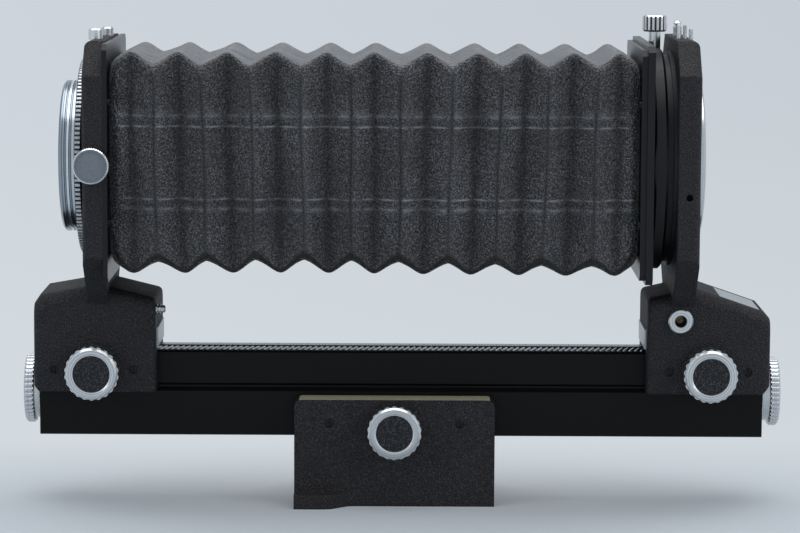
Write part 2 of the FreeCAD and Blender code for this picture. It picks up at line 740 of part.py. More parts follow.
def make_carriage():
    """Cast block that rides along the underside of the rail and carries the tripod socket."""
    body = new_body("carriage_casting")
    front = [("-carriage_half", "0"), ("carriage_half", "0"), ("carriage_half", "carriage_height"),
             ("-carriage_half", "carriage_height")]
    pad(body, outline(body, "carriage_front", "XZ_Plane", front), "carriage_width", both_ways=True)
    run_start = "-carriage_half + foot_full"
    run_end = "-carriage_half + foot_full + foot_run"
    reach = "carriage_side + foot_reach"
    foot = [("-carriage_half", f"-({reach})"), (run_start, f"-({reach})"),
            (f"{run_start} + 2.6", f"-({reach}) + 0.6"),
            (f"{run_start} + foot_run / 2", "-carriage_side - foot_reach / 2"),
            (f"{run_end} - 2.6", "-carriage_side - 0.6"), (run_end, "-carriage_side")]
    foot += [(across, f"-({up})") for across, up in reversed(foot)]
    pad(body, outline(body, "carriage_foot", "XY_Plane", foot), "foot_height")
    fillet(body, "carriage_corners", "carriage_corner", lambda edge: edge.BoundBox.XLength < 0.01
           and edge.BoundBox.ZLength < 0.01 and edge.BoundBox.ZMin > size("carriage_height") - 0.1)
    doc.recompute()
    floor = "rail_bottom - slide_gap"
    half = "channel_half"
    channel = [(f"-{half}", "carriage_height + 1"), (f"-{half}", floor), (half, floor),
               (half, "carriage_height + 1")]
    pocket(body, outline(body, "carriage_channel", "YZ_Plane", channel), "carriage_length + 2",
           both_ways=True)
    key_half = "(key_mouth / 2 - slide_gap)"
    for name, middle in (("key_slot_lens", "key_reach"), ("key_slot_camera", "-key_reach")):
        start, end = f"{middle} - key_length / 2", f"{middle} + key_length / 2"
        low, high = f"key_offset - {key_half}", f"key_offset + {key_half}"
        slot = outline(body, name, "XY_Plane", [(start, low), (end, low), (end, high), (start, high)], floor)
        pocket(body, slot, "key_sink")
    room = rounds(body, "pinion_room_low", "XZ_Plane", [("0", "lower_axis", "pinion_room")],
                  "rack_offset + pinion_width / 2 + air_gap")
    pocket(body, room, "pinion_width + 2 * air_gap")
    bore = rounds(body, "bush_bore_low", "XZ_Plane", [("0", "lower_axis", "bush_radius + turn_gap / 2")],
                  "-carriage_side")
    pocket(body, bore, "carriage_side + rack_offset", back=True)
    pivot = rounds(body, "pivot_hole_low", "XZ_Plane", [("0", "lower_axis", "pivot_radius + turn_gap")],
                   "rack_offset")
    pocket(body, pivot, "pinion_width / 2 + pivot_length + air_gap", back=True)
    gib_up = "carriage_lock + carriage_gib_lift"
    gib_low, gib_high = f"{gib_up} - gib_height / 2", f"{gib_up} + gib_height / 2"
    left, right = "-carriage_gib_length / 2", "carriage_gib_length / 2"
    nest = [(left, gib_low), (right, gib_low), (right, gib_high), (left, gib_high)]
    nest = outline(body, "gib_nest_low", "XZ_Plane", nest, "channel_half + gib_thick")
    pocket(body, nest, "gib_thick + 1")
    front_holes = [("0", "carriage_lock", "stud_radius")]
    front_holes += [(f"{sign}carriage_gib_reach", gib_up, "gib_screw_radius") for sign in ("-", "")]
    pocket(body, rounds(body, "front_holes", "XZ_Plane", front_holes, "carriage_side"),
           "carriage_side - channel_half")
    pocket(body, rounds(body, "socket_bore", "XY_Plane", [("0", "0", "socket_outer")]), "socket_length",
           back=True)
    keep(body, "tripod_block")
    bushing = turned("bushing_body", [("socket_wall", "0"), ("socket_outer - turn_gap / 2", "0"),
                                      ("socket_outer - turn_gap / 2", "socket_length"),
                                      ("socket_wall", "socket_length")], ("0", "0", "0"), "+Z")
    keep(bushing, "tripod_bushing")
    fit = "slide_gap * 1.5"
    profile = [(f"key_offset - {key_half} + 0.02", f"{floor} - key_sink"),
               (f"key_offset + {key_half} - 0.02", f"{floor} - key_sink"),
               (f"key_offset + {key_half} - 0.02", floor),
               (f"key_offset + key_root / 2 - {fit}", f"rail_bottom + key_depth - {fit}"),
               (f"key_offset - key_root / 2 + {fit}", f"rail_bottom + key_depth - {fit}"),
               (f"key_offset - {key_half} + 0.02", floor)]
    keys = []
    for name, middle in (("lens_key", "key_reach"), ("camera_key", "-key_reach")):
        key = new_body(name, (middle, "0", "0"))
        pad(key, outline(key, name + "_section", "YZ_Plane", profile), "key_length - 0.1", both_ways=True)
        keys.append(key)
    keep(group("key_pair", *keys), "carriage_keys")
    make_gib("carriage_gib", "0", gib_up, "channel_half", "carriage_gib_length")


# --------------------------------------------------------------------------- standards

def plate_outline(top):
    """Upright plate of either standard up to the height top, seen along the rail."""
    half = "plate_half"
    right = [("side_half", "plate_waist"), (half, "plate_shoulder"), (half, f"{top} - plate_corner"),
             (f"{half} - plate_corner", top)]
    return right + [(f"-({across})", up) for across, up in reversed(right)]


def make_standard(label, base, side, plate_in, plate_thick, plate_high, relief, inward):
    """Casting of one standard: a saddle over the rail with an upright plate plate_high tall."""
    body = new_body(label + "_casting")
    profile = [(f"{base} {across}", up) for across, up in side]
    pad(body, outline(body, label + "_side", "XZ_Plane", profile), "base_width", both_ways=True)
    middle = (size("base_bottom") + size("base_top")) / 2
    fillet(body, label + "_shoulders", "base_round",
           lambda edge: edge.BoundBox.YLength < 0.01 and edge.BoundBox.ZMin > middle
           and edge.BoundBox.XLength > 1)
    fillet(body, label + "_corners", "base_bevel",
           lambda edge: edge.BoundBox.XLength < 0.01 and edge.BoundBox.YLength < 0.01)
    upright = outline(body, label + "_plate", "YZ_Plane", plate_outline(plate_high), plate_in)
    pad(body, upright, plate_thick, back=inward)
    face = size(plate_in) + size(plate_thick) * (-1 if inward else 1)
    fillet(body, label + "_plate_edge", "plate_round",
           lambda edge: edge.BoundBox.XLength < 0.01 and abs(edge.BoundBox.XMin - face) < 0.01
           and edge.BoundBox.ZMin > size("plate_shoulder") - 0.1)
    doc.recompute()
    saddle = [("-saddle_half", "saddle_roof"), ("-saddle_half", "groove_end - slide_gap / 2"),
              ("-waist_half - slide_gap", "groove_out - slide_gap / 2"),
              ("-waist_half - slide_gap", "groove_in + slide_gap / 2"),
              ("-channel_half", "groove_start + slide_gap / 2"), ("-channel_half", "base_bottom - 2")]
    saddle += [(f"-({across})", up) for across, up in reversed(saddle)]
    saddle += [("-rack_far + air_gap", "saddle_roof"), ("-rack_far + air_gap", "upper_tip + air_gap"),
               ("-rack_near - air_gap", "upper_tip + air_gap"), ("-rack_near - air_gap", "saddle_roof")]
    channel = outline(body, label + "_saddle", "YZ_Plane", saddle, base)
    pocket(body, channel, "base_length + 20", both_ways=True)
    disc = rounds(body, label + "_wheel_relief", "YZ_Plane",
                  [("0", "rail_middle", "wheel_radius + wheel_relief")], relief)
    pocket(body, disc, "base_length / 2", back=not inward)
    room = rounds(body, label + "_pinion_room", "XZ_Plane", [(base, "upper_axis", "pinion_room")],
                  "rack_offset + pinion_width / 2 + air_gap")
    pocket(body, room, "pinion_width + 2 * air_gap")
    bore = rounds(body, label + "_bush_bore", "XZ_Plane",
                  [(base, "upper_axis", "bush_radius + turn_gap / 2")], "-side_half")
    pocket(body, bore, "side_half + rack_offset", back=True)
    pivot = rounds(body, label + "_pivot_hole", "XZ_Plane",
                   [(base, "upper_axis", "pivot_radius + turn_gap")], "rack_offset")
    pocket(body, pivot, "pinion_width / 2 + pivot_length + air_gap", back=True)
    left, right = f"{base} - gib_length / 2", f"{base} + gib_length / 2"
    gib_low, gib_high = "standard_lock - gib_height / 2", "standard_lock + gib_height / 2"
    nest = [(left, gib_low), (right, gib_low), (right, gib_high), (left, gib_high)]
    pocket(body, outline(body, label + "_gib_nest", "XZ_Plane", nest, "saddle_half + gib_thick"),
           "gib_thick + 1")
    holes = [(base, "standard_lock", "stud_radius")]
    holes += [(f"{base} {sign} gib_screw_reach", "standard_lock", "gib_screw_radius") for sign in "-+"]
    pocket(body, rounds(body, label + "_holes", "XZ_Plane", holes, "side_half"), "side_half - saddle_half")
    return body


def make_rear_standard():
    """Camera-end standard: hub bore for the turret, its lock, and sockets for the top fittings."""
    side = [("- base_half + 0.5", "base_bottom + 2"), ("- base_half + 2.4", "base_bottom"),
            ("+ base_half", "base_bottom"), ("+ base_half", "base_top - 4.0"), ("+ 4.5", "base_top"),
            ("- 1.9", "base_top"), ("- base_half + 2.6", "base_top - 2.9"),
            ("- base_half + 0.5", "base_top - 6.0")]
    body = make_standard("rear_standard", "rear_base", side, "rear_plate_in", "rear_plate_thick",
                         "rear_plate_top", "rail_offset - rail_length / 2 + 0.6", True)
    middle = "rear_base + rear_plate_place"
    boss = rounds(body, "turret_boss", "YZ_Plane", [("0", "optical_axis", "boss_radius")], "rear_plate_out")
    pad(body, boss, "boss_height", back=True)
    bore = rounds(body, "hub_bore", "YZ_Plane", [("0", "optical_axis", "hub_radius + turn_gap")],
                  "rear_plate_in + 1")
    pocket(body, bore, "rear_plate_thick + 3")
    recess = rounds(body, "keeper_recess", "YZ_Plane", [("0", "optical_axis", "keeper_radius + air_gap")],
                    "rear_plate_in")
    pocket(body, recess, "keeper_sunk")
    stud = rounds(body, "turret_stud_hole", "XZ_Plane",
                  [(middle, "optical_axis", "turret_lock_stud + turn_gap")], "plate_half + 1")
    pocket(body, stud, "plate_half - hub_radius + 2")
    button = (f"{middle} - rear_button_offset", "-rear_button_place")
    sockets = [(*button, "button_stem + turn_gap"), (f"{middle} + 1", "post_place", "button_stem")]
    pocket(body, rounds(body, "rear_top_sockets", "XY_Plane", sockets, "rear_plate_top"), "6")
    well = rounds(body, "button_well", "XY_Plane", [(*button, "rear_button_radius + turn_gap")],
                  "rear_plate_top")
    pocket(body, well, "button_travel + 0.4")
    screws = [(f"{a}frame_screw_across", f"frame_centre {b} frame_screw_up", "0.8")
              for a in ("", "-") for b in "-+"]
    pocket(body, rounds(body, "rear_frame_taps", "YZ_Plane", screws, "rear_plate_in"), "4")
    seat = rounds(body, "stub_socket", "YZ_Plane", [("-stub_place", "stub_height", "stub_neck")],
                  "saddle_end")
    pocket(body, seat, "3")
    keep(body, "rear_standard")


def make_front_standard():
    """Lens-end standard: through bore, seat for the lens ring, release socket and button hole."""
    side = [("- base_half", "base_bottom"), ("+ base_half - 2.4", "base_bottom"),
            ("+ base_half", "base_bottom + 3"), ("+ base_half", "base_top - 10.2"),
            ("+ base_half - 2.1", "base_top - slope_drop"), ("- 5", "base_top + 0.3"),
            ("- 13", "base_top - 1.6"), ("- base_half", "base_top - 3.4")]
    body = make_standard("front_standard", "front_base", side, "front_plate_in", "front_plate_thick",
                         "plate_top", "rail_offset + rail_length / 2 - 0.6", False)
    middle = "front_base - front_plate_place"
    bore = rounds(body, "light_bore", "YZ_Plane", [("0", "optical_axis", "lens_bore + 0.6")],
                  "front_plate_out + 1")
    pocket(body, bore, "front_plate_thick + 2")
    seat = rounds(body, "lens_ring_seat", "YZ_Plane",
                  [("0", "optical_axis", "lens_ring_radius + turn_gap")], "front_plate_out")
    pocket(body, seat, "lens_ring_sunk")
    taps = []
    for a in ("", "-"):
        taps += [(f"{a}lens_screw_reach", "optical_axis", "0.6"),
                 ("0", f"optical_axis + {a}lens_screw_reach", "0.6")]
    pocket(body, rounds(body, "lens_ring_taps", "YZ_Plane", taps, "lens_ring_back"), "3")
    socket = rounds(body, "release_seat", "XZ_Plane",
                    [("release_place", "release_height", "release_shank + turn_gap / 2")], "side_half")
    pocket(body, socket, "release_length")
    well = rounds(body, "plunger_well", "XZ_Plane",
                  [("release_place", "release_height", "plunger_radius + air_gap")], "side_half - 1")
    pocket(body, well, "plunger_length + plunger_travel + release_thread")
    sockets = [(f"{middle} {across}", up, radius) for across, up, radius in
               (("- pin_gap", "-lens_button_place", "lens_button_radius + turn_gap"),
                ("+ 0", "-lens_button_place", "lens_button_radius"),
                ("+ 1.4", "-lens_button_place - 7", "dark_pin_radius"),
                ("- 0.7", "post_place", "button_stem"))]
    pocket(body, rounds(body, "front_top_sockets", "XY_Plane", sockets, "plate_top"), "6")
    edge = rounds(body, "edge_hole_cut", "XZ_Plane", [(middle, "optical_axis - 10", "edge_hole")],
                  "plate_half")
    pocket(body, edge, "3")
    bed = outline(body, "nameplate_bed", "XZ_Plane", slope_band(0.4, "-nameplate_thick", "1"))
    pocket(body, bed, "nameplate_width + 0.8", both_ways=True)
    keep(body, "front_standard")


def slope_band(margin, low, high):
    """Strip along the slope of the lens base, between two heights over it, for the name plate."""
    foot = ("front_base + base_half - 2.1", "base_top - slope_drop")
    slope = "(base_half + 2.9)", "(slope_drop + 0.3)"
    long = f"sqrt({slope[0]} ^ 2 + {slope[1]} ^ 2)"
    points = []
    for along, lift in ((f"(nameplate_end - {margin})", low), (f"(nameplate_end - {margin})", high),
                        (f"(nameplate_end + nameplate_length + {margin})", high),
                        (f"(nameplate_end + nameplate_length + {margin})", low)):
        points.append((f"{foot[0]} + (-{slope[0]} * {along} + {slope[1]} * ({lift})) / {long}",
                       f"{foot[1]} + ({slope[1]} * {along} + {slope[0]} * ({lift})) / {long}"))
    return points


def make_index_plates():
    """Pale blank plates on the inner faces of both bases, and the name plate on the lens base."""
    low, high = "saddle_roof + 1.6", "saddle_roof + 1.6 + index_height"
    left, right = "1.5 - index_width / 2", "index_width / 2 - 1.5"
    keep(box("rear_index_bar", ("saddle_end", left, low), ("saddle_end + index_thick", right, high)),
         "rear_index_plate")
    keep(box("front_index_bar", ("lens_end - index_thick", left, low), ("lens_end", right, high)),
         "front_index_plate")
    body = new_body("nameplate_bar")
    edge = outline(body, "nameplate_edge", "XZ_Plane", slope_band(0, "-nameplate_thick", "-0.1"))
    pad(body, edge, "nameplate_width", both_ways=True)
    keep(body, "name_plate")


# --------------------------------------------------------------------------- camera turret

def make_turret():
    """Camera flange, its knurled grip ring with the hub, and the keeper that holds them in the plate."""
    axis = "optical_axis"
    groove = "flange_groove"
    deep = "flange_length"
    back = "grip_thick + rear_plate_thick - keeper_sunk + 0.9 + 0.06"
    inner, outer = "throat_radius", "flange_radius"
    profile = [(inner, f"-({back})"), ("flange_shank", f"-({back})"), ("flange_shank", "0"), (outer, "0"),
               (outer, "1.9"), (f"{outer} - {groove}", "2.1"), (f"{outer} - {groove}", "2.5"),
               (outer, "2.7"), (outer, "3.4"), (f"{outer} - {groove}", "3.6"),
               (f"{outer} - {groove}", "4.0"), (outer, "4.2"), (outer, f"{deep} - 0.7"),
               (f"{outer} - 0.7", deep), (f"{inner} + 1.6", deep), (f"{inner} + 1.6", f"{deep} - 1.2"),
               (inner, f"{deep} - 1.2")]
    flange = turned("flange_body", profile, ("flange_seat", "0", axis), "-X")
    doc.recompute()
    keep(flange, "camera_flange")
    rim = "grip_radius"
    bore = "flange_shank + turn_gap / 4"
    grip = [(bore, f"-({back})"), ("hub_radius", f"-({back})"), ("hub_radius", "-grip_thick"),
            (rim, "-grip_thick"), (rim, "-0.35"), (f"{rim} - 0.4", "0"), (bore, "0")]
    ring = turned("grip_body", grip, ("flange_seat", "0", axis), "-X")
    doc.recompute()
    ribbed(ring, "grip_rib", "grip_ribs", f"{rim} + 0.2", "0.5", "-grip_thick - 1", "grip_thick + 2")
    holes = [("27.3", "0", "0.8"), ("-27.3", "0", "0.8"), ("0", "27.3", "0.8"), ("0", "-27.3", "0.8")]
    pocket(ring, rounds(ring, "grip_taps", "XY_Plane", holes, f"-({back})"), "2.5", back=True)
    keep(ring, "camera_grip_ring")
    keeper = turned("keeper_body", [("flange_shank", "0"), ("keeper_radius", "0"),
                                    ("keeper_radius", "keeper_thick"), ("flange_shank", "keeper_thick")],
                    (f"flange_seat + {back}", "0", axis), "+X")
    doc.recompute()
    pocket(keeper, rounds(keeper, "keeper_holes", "XY_Plane", holes), "keeper_thick", back=True)
    keep(keeper, "turret_keeper")
    screws = []
    for number, (across, up, radius) in enumerate(holes):
        screws.append(rod(f"keeper_screw_{number}", "0.78", "keeper_thick + 2.4",
                          (f"flange_seat + {back} - 2.4", across, f"{axis} + {up}"), "+X"))
    keep(group("keeper_screw_set", *screws), "turret_screws")


def make_turret_lock():
    """Small knurled screw on the plate's near edge that holds the turret."""
    rim, deep = "turret_lock_radius", "turret_lock_depth"
    stud = "turret_lock_stud"
    reach = "plate_half - hub_radius - 0.2"
    profile = [("0", f"-({reach})"), (stud, f"-({reach})"), (stud, "0.4"), (f"{rim} - 0.8", "0.4"),
               (rim, "1.0"), (rim, f"{deep} - 0.4"), (f"{rim} - 0.4", deep), (f"{rim} - 1.1", deep),
               (f"{rim} - 1.1", f"{deep} - 0.3"), ("0", f"{deep} - 0.3")]
    body = turned("turret_lock_body", profile,
                  ("rear_base + rear_plate_place", "-plate_half", "optical_axis"), "-Y")
    doc.recompute()
    ribbed(body, "turret_lock_rib", "turret_lock_ribs", f"{rim} + 0.13", "0.3", "0.6", f"{deep}")
    keep(body, "rotation_lock_knob")


# --------------------------------------------------------------------------- lens mount and collar

def make_lens_mount():
    """Bright ring with the bayonet's counterbore and three tabs behind it, held by four screws."""
    outer, bore = "lens_ring_radius", "lens_bore"
    deep = "lens_ring_sunk + lens_ring_proud"
    profile = [("lens_throat", "0"), (outer, "0"), (outer, f"{deep} - 0.5"), (f"{outer} - 0.5", deep),
               (f"{bore} + 0.4", deep), (bore, f"{deep} - 0.4"), (bore, "lens_tab"),
               ("lens_throat", "lens_tab")]
    ring = turned("lens_ring_turning", profile, ("lens_ring_back", "0", "optical_axis"), "+X")
    doc.recompute()
    head = "lens_screw_head"
    spots = [("lens_screw_reach", "0"), ("-lens_screw_reach", "0"), ("0", "lens_screw_reach"),
             ("0", "-lens_screw_reach")]
    sinks = rounds(ring, "lens_screw_sinks", "XY_Plane", [(a, b, head) for a, b in spots], f"{deep} - 0.8")
    pocket(ring, sinks, "2", back=True)
    through = rounds(ring, "lens_screw_holes", "XY_Plane", [(a, b, "0.62") for a, b in spots], "-1")
    pocket(ring, through, f"{deep} + 1", back=True)
    gaps = []
    for number in range(3):
        wedge = rod(f"tab_gap_{number}", f"{bore} + 0.4", "lens_tab + 0.5",
                    ("lens_ring_back - 0.5", "0", "optical_axis"), "+X")
        wedge.Angle = 58
        turn = FreeCAD.Rotation(FreeCAD.Vector(1, 0, 0), 31 + 120 * number)
        wedge.Placement.Rotation = turn.multiply(TURNS["+X"])
        gaps.append(wedge)
    keep(cut("lens_ring_cut", ring, *gaps), "lens_mount_ring")
    screws = []
    for number, (a, b) in enumerate(spots):
        at = ("lens_ring_back - 2.6", a, f"optical_axis + {b}")
        shank = rod(f"lens_screw_{number}_shank", "0.6", f"{deep} + 2.6 - 0.5", at, "+X")
        cap = rod(f"lens_screw_{number}_head", f"{head} - turn_gap", "0.75",
                  ("lens_ring_face - 0.8", a, f"optical_axis + {b}"), "+X")
        screws.append(fuse(f"lens_screw_{number}", shank, cap))
    keep(group("lens_screw_set", *screws), "lens_mount_screws")


def frame_outline(step="0"):
    """Square bellows frame with bevelled corners, seen along the rail, step smaller all round."""
    half, rise, corner = f"(frame_half - {step})", f"(frame_rise - {step})", "frame_corner"
    top = [(half, f"frame_centre + {rise} - {corner}"), (f"{half} - {corner}", f"frame_centre + {rise}")]
    bottom = [(f"{half} - {corner}", f"frame_centre - {rise}"), (half, f"frame_centre - {rise} + {corner}")]
    left = [(f"-({a})", b) for a, b in reversed(bottom + top)]
    return bottom + top + left


def make_frame(label, start, thick, window, step="0"):
    """Flat frame that carries one end of the bellows."""
    body = new_body(label + "_plate", (start, "0", "0"))
    pad(body, outline(body, label + "_edge", "YZ_Plane", frame_outline(step)), thick)
    half, low, high = window, f"frame_centre - {window}", f"frame_centre + {window}"
    hole = [(f"-{half}", low), (half, low), (half, high), (f"-{half}", high)]
    pocket(body, outline(body, label + "_window", "YZ_Plane", hole), f"{thick} + 1", back=True)
    return body


def frame_screws(body, label, start, thick, head_way):
    """Four cheese-head screws through a frame; head_way is the side their heads stand on."""
    spots = [(f"{a}frame_screw_across", f"frame_centre {b} frame_screw_up") for a in ("", "-") for b in "-+"]
    pocket(body, rounds(body, label + "_holes", "YZ_Plane", [(a, b, "0.8") for a, b in spots]),
           f"{thick} + 1", back=True)
    screws = []
    for number, (a, b) in enumerate(spots):
        if head_way == "+X":
            head = rod(f"{label}_{number}_head", "1.4", "0.7", (f"{start} + {thick}", a, b), "+X")
            shank = rod(f"{label}_{number}_shank", "0.78", "5.4", (f"{start} + {thick} + 0.2", a, b), "-X")
        else:
            head = rod(f"{label}_{number}_head", "1.4", "0.7", (start, a, b), "-X")
            shank = rod(f"{label}_{number}_shank", "0.78", "4.2", (f"{start} - 0.2", a, b), "+X")
        screws.append(fuse(f"{label}_{number}", head, shank))
    keep(group(label + "_set", *screws), label)


def make_frames():
    """Rear frame on the camera plate; spigot frame and its bellows frame inside the clamp collar."""
    rear = make_frame("rear_bellows_frame", "rear_plate_in", "rear_frame_thick", "frame_window")
    frame_screws(rear, "rear_frame_screws", "rear_plate_in", "rear_frame_thick", "+X")
    keep(rear, "rear_bellows_frame")
    front = make_frame("front_bellows_frame", "bellows_front", "front_frame_thick", "frame_window",
                       "front_frame_step")
    frame_screws(front, "front_frame_screws", "bellows_front", "front_frame_thick", "-X")
    keep(front, "front_bellows_frame")
    body = new_body("spigot_plate_body", ("spigot_in", "0", "0"))
    pad(body, outline(body, "spigot_plate_edge", "YZ_Plane", frame_outline()), "spigot_plate")
    tube = rounds(body, "spigot_tube", "YZ_Plane", [("0", "optical_axis", "spigot_radius")])
    pad(body, tube, "spigot_plate + collar_width + collar_neck_width - 0.3")
    hole = rounds(body, "spigot_hole", "YZ_Plane",
                  [("0", "optical_axis", "spigot_radius - spigot_wall")], "-1")
    pocket(body, hole, "20", back=True)
    spots = [(f"{a}frame_screw_across", f"frame_centre {b} frame_screw_up", "0.8")
             for a in ("", "-") for b in "-+"]
    pocket(body, rounds(body, "spigot_taps", "YZ_Plane", spots), "2.3", back=True)
    keep(body, "spigot_frame")


def make_collar():
    """Clamp collar on the lens plate's inner face, and the radial thumb screw that grips the spigot."""
    inner, outer, neck, lip = "collar_inner", "collar_radius", "collar_neck", "collar_lip"
    wide, all_wide = "collar_width", "collar_width + collar_neck_width"
    profile = [(inner, "0.1"), (f"{outer} - 0.8", "0.1"), (outer, "0.9"), (outer, f"{wide} - 0.8"),
               (f"{outer} - 0.8", wide), (neck, wide), (neck, f"{all_wide} - collar_lip_width"),
               (lip, f"{all_wide} - collar_lip_width"), (lip, all_wide), (inner, all_wide)]
    body = turned("collar_body", profile, ("collar_in", "0", "optical_axis"), "+X")
    doc.recompute()
    tap = rounds(body, "clamp_tap", "YZ_Plane", [("0", f"{wide} / 2", "clamp_stem + turn_gap")])
    pocket(body, tap, "collar_radius + 5")
    keep(body, "clamp_ring")
    rim, lift, tall = "clamp_head", "(clamp_head_foot - collar_top)", "clamp_head_height"
    stem = "clamp_stem"
    foot = "collar_radius - collar_inner - 0.1"
    profile = [("0", f"-({foot})"), (stem, f"-({foot})"), (stem, lift), (f"{rim} - 0.6", lift),
               (rim, f"{lift} + 0.6"), (rim, f"{lift} + {tall} - 0.6"), (f"{rim} - 0.6", f"{lift} + {tall}"),
               ("0", f"{lift} + {tall}")]
    screw = turned("clamp_screw_body", profile, ("collar_in + collar_width / 2", "0", "collar_top"), "+Z")
    doc.recompute()
    ribbed(screw, "clamp_flute", "clamp_flutes", f"{rim} + 0.3", "0.62", lift, f"{tall} + 1")
    keep(screw, "clamp_screw")


# --------------------------------------------------------------------------- small fittings

def domed_pin(name, radius, sunk, tall, at):
    """Upright pin with a domed top, standing in its hole."""
    return turned(name, [("0", f"-{sunk}"), (radius, f"-{sunk}"), (radius, f"{tall} - {radius} * 0.8"),
                         (f"{radius} * 0.75", f"{tall} - {radius} * 0.25"), (f"{radius} * 0.3", tall),
                         ("0", tall)], at, "+Z")


def make_fittings():
    """Cable-release socket and plunger, release buttons, posts and the stub on the camera base."""
    mouth, wall = "release_proud", "release_wall"
    thread = "release_thread"
    stop = "release_length - 0.2"
    profile = [(wall, f"{mouth} - {thread}"), (wall, mouth), ("release_radius - 0.4", mouth),
               ("release_radius", f"{mouth} - 0.4"), ("release_radius", "0"), ("release_shank", "0"),
               ("release_shank", f"-({stop})"), ("plunger_radius + turn_gap", f"-({stop})"),
               ("plunger_radius + turn_gap", f"{mouth} - {thread}")]
    at = ("release_place", "-side_half", "release_height")
    keep(turned("release_socket_body", profile, at, "-Y"), "release_socket")
    plunger = rod("plunger_pin", "plunger_radius", "plunger_length",
                  ("release_place", f"-side_half - {mouth} + {thread} + 0.1", "release_height"), "+Y")
    keep(plunger, "release_plunger")
    middle, top = "front_base - front_plate_place", "plate_top"
    button = domed_pin("lens_button_body", "lens_button_radius", "4.2", "lens_button_height",
                       (f"{middle} - pin_gap", "-lens_button_place", top))
    keep(button, "lens_release_button")
    pins = [domed_pin("sleeve_pin", "lens_button_radius", "4.2", "lens_button_height",
                      (middle, "-lens_button_place", top)),
            domed_pin("guide_pin", "dark_pin_radius", "4.2", "dark_pin_height",
                      (f"{middle} + 1.4", "-lens_button_place - 7", top))]
    radius, tall = "front_post_radius", "front_post_height"
    pins.append(turned("hooked_post", [("0", "-5"), ("button_stem", "-5"), ("button_stem", "0"),
                                       (radius, "0"), (radius, f"{tall} - 2.2"),
                                       (f"{radius} * 0.7", f"{tall} - 1.8"),
                                       (f"{radius} * 0.7", f"{tall} - 1.2"), (radius, f"{tall} - 0.9"),
                                       (f"{radius} * 0.4", tall), ("0", tall)],
                       (f"{middle} - 0.7", "post_place", top), "+Z"))
    keep(group("front_posts", *pins), "front_top_posts")
    middle, top = "rear_base + rear_plate_place", "rear_plate_top"
    radius, tall = "rear_button_radius", "rear_button_height"
    foot = "-button_travel * 0.2"
    button = turned("rear_button_body", [("0", "-4.2"), ("button_stem", "-4.2"), ("button_stem", foot),
                                         (radius, foot), (radius, f"{tall} - 0.4"),
                                         (f"{radius} - 0.4", tall), ("0.55", tall),
                                         ("0.12", f"{tall} + 1.3"), ("0", f"{tall} + 1.3")],
                    (f"{middle} - rear_button_offset", "-rear_button_place", top), "+Z")
    keep(button, "rear_release_button")
    radius, tall = "rear_post_radius", "rear_post_height"
    post = turned("rear_post", [("0", "-5"), ("button_stem", "-5"), ("button_stem", "0"), (radius, "0"),
                                (radius, f"{tall} - 0.6"), (f"{radius} - 0.6", tall), ("0", tall)],
                  (f"{middle} + 1", "post_place", top), "+Z")
    keep(post, "rear_top_post")
    rim, neck = "stub_radius", "stub_neck"
    stub = turned("stub_body", [("0", "-2.5"), (neck, "-2.5"), (neck, "0"), (rim, "0"), (rim, "0.5"),
                                (neck, "0.5"), (neck, "1.1"), (rim, "1.1"), (rim, "1.6"),
                                (f"{rim} - 0.5", "1.7"), (f"{rim} - 0.5", "2.9"), (f"{rim} - 0.9", "3.2"),
                                ("0", "3.2")],
                  ("saddle_end", "-stub_place", "stub_height"), "+X")
    keep(stub, "rear_stub")


# --------------------------------------------------------------------------- bellows

def fold_section(place_x, top_crest, wall):
    """Section at one fold: where top and bottom stand out the sides go in, and the other way round."""
    out, back = size("fold_crest") - wall, size("fold_valley") - wall
    across, up = (back, out) if top_crest else (out, back)
    corner = size("fold_corner") - wall * (2 - math.sqrt(2))
    quarter = [(across, up - corner), (across - corner, up)]
    ring = quarter + [(-a, b) for a, b in reversed(quarter)]
    ring += [(a, -b) for a, b in reversed(ring)]
    middle = size("frame_centre")
    points = [FreeCAD.Vector(place_x, a, middle + b) for a, b in ring]
    return Part.makePolygon(points + points[:1])


def make_bellows(label, end):
    """One half of the pleated bellows: a thin folded tube from a frame to the middle crest."""
    folds = int(size("folds"))
    step = (size("bellows_front") - size("bellows_rear")) / (2 * folds)
    start = size("bellows_rear")
    numbers = range(0, folds + 1) if end == "rear" else range(folds, 2 * folds + 1)
    skins = []
    for wall in (0, size("bellows_wall")):
        wires = [fold_section(start + number * step, number % 2 == 1, wall) for number in numbers]
        skins.append(Part.makeLoft(wires, True, True))
    keep(shaped(label + "_tube", skins[0].cut(skins[1])), label)


# --------------------------------------------------------------------------- build

make_rail()
make_racks()
make_scale()
make_end_wheel("front_end_wheel", "rail_offset + rail_length / 2", "front_wheel_stand", "+X")
make_end_wheel("rear_end_wheel", "rail_offset - rail_length / 2", "rear_wheel_stand", "-X")
make_carriage()
make_lock_knob("carriage_lock_knob", "0", "carriage_side", "carriage_lock", "channel_half")
make_gib_screws("carriage_gib_screws", "0", "carriage_lock + carriage_gib_lift", "channel_half",
                "carriage_side", "carriage_gib_reach")
make_pinion("carriage_pinion", "0", "lower_axis", -1, "carriage_side")
make_bush("carriage_bush", "0", "lower_axis", "carriage_side")
make_drive_knob("carriage_drive_knob", "0", "carriage_side", "lower_axis")
make_rear_standard()
make_front_standard()
for end in ("rear", "front"):
    base = end + "_base"
    make_gib(end + "_gib", base, "standard_lock", "saddle_half", "gib_length")
    make_gib_screws(end + "_gib_screws", base, "standard_lock", "saddle_half", "side_half",
                    "gib_screw_reach")
    make_lock_knob(end + "_lock_knob", base, "side_half", "standard_lock", "saddle_half")
    make_bush(end + "_pinion_bush", base, "upper_axis", "side_half")
    make_drive_knob(end + "_drive_knob", base, "side_half", "upper_axis")
    make_pinion(end + "_pinion", base, "upper_axis", 1, "side_half")
    make_bellows("bellows_" + end, end)
make_index_plates()
make_turret()
make_turret_lock()
make_lens_mount()
make_frames()
make_collar()
make_fittings()


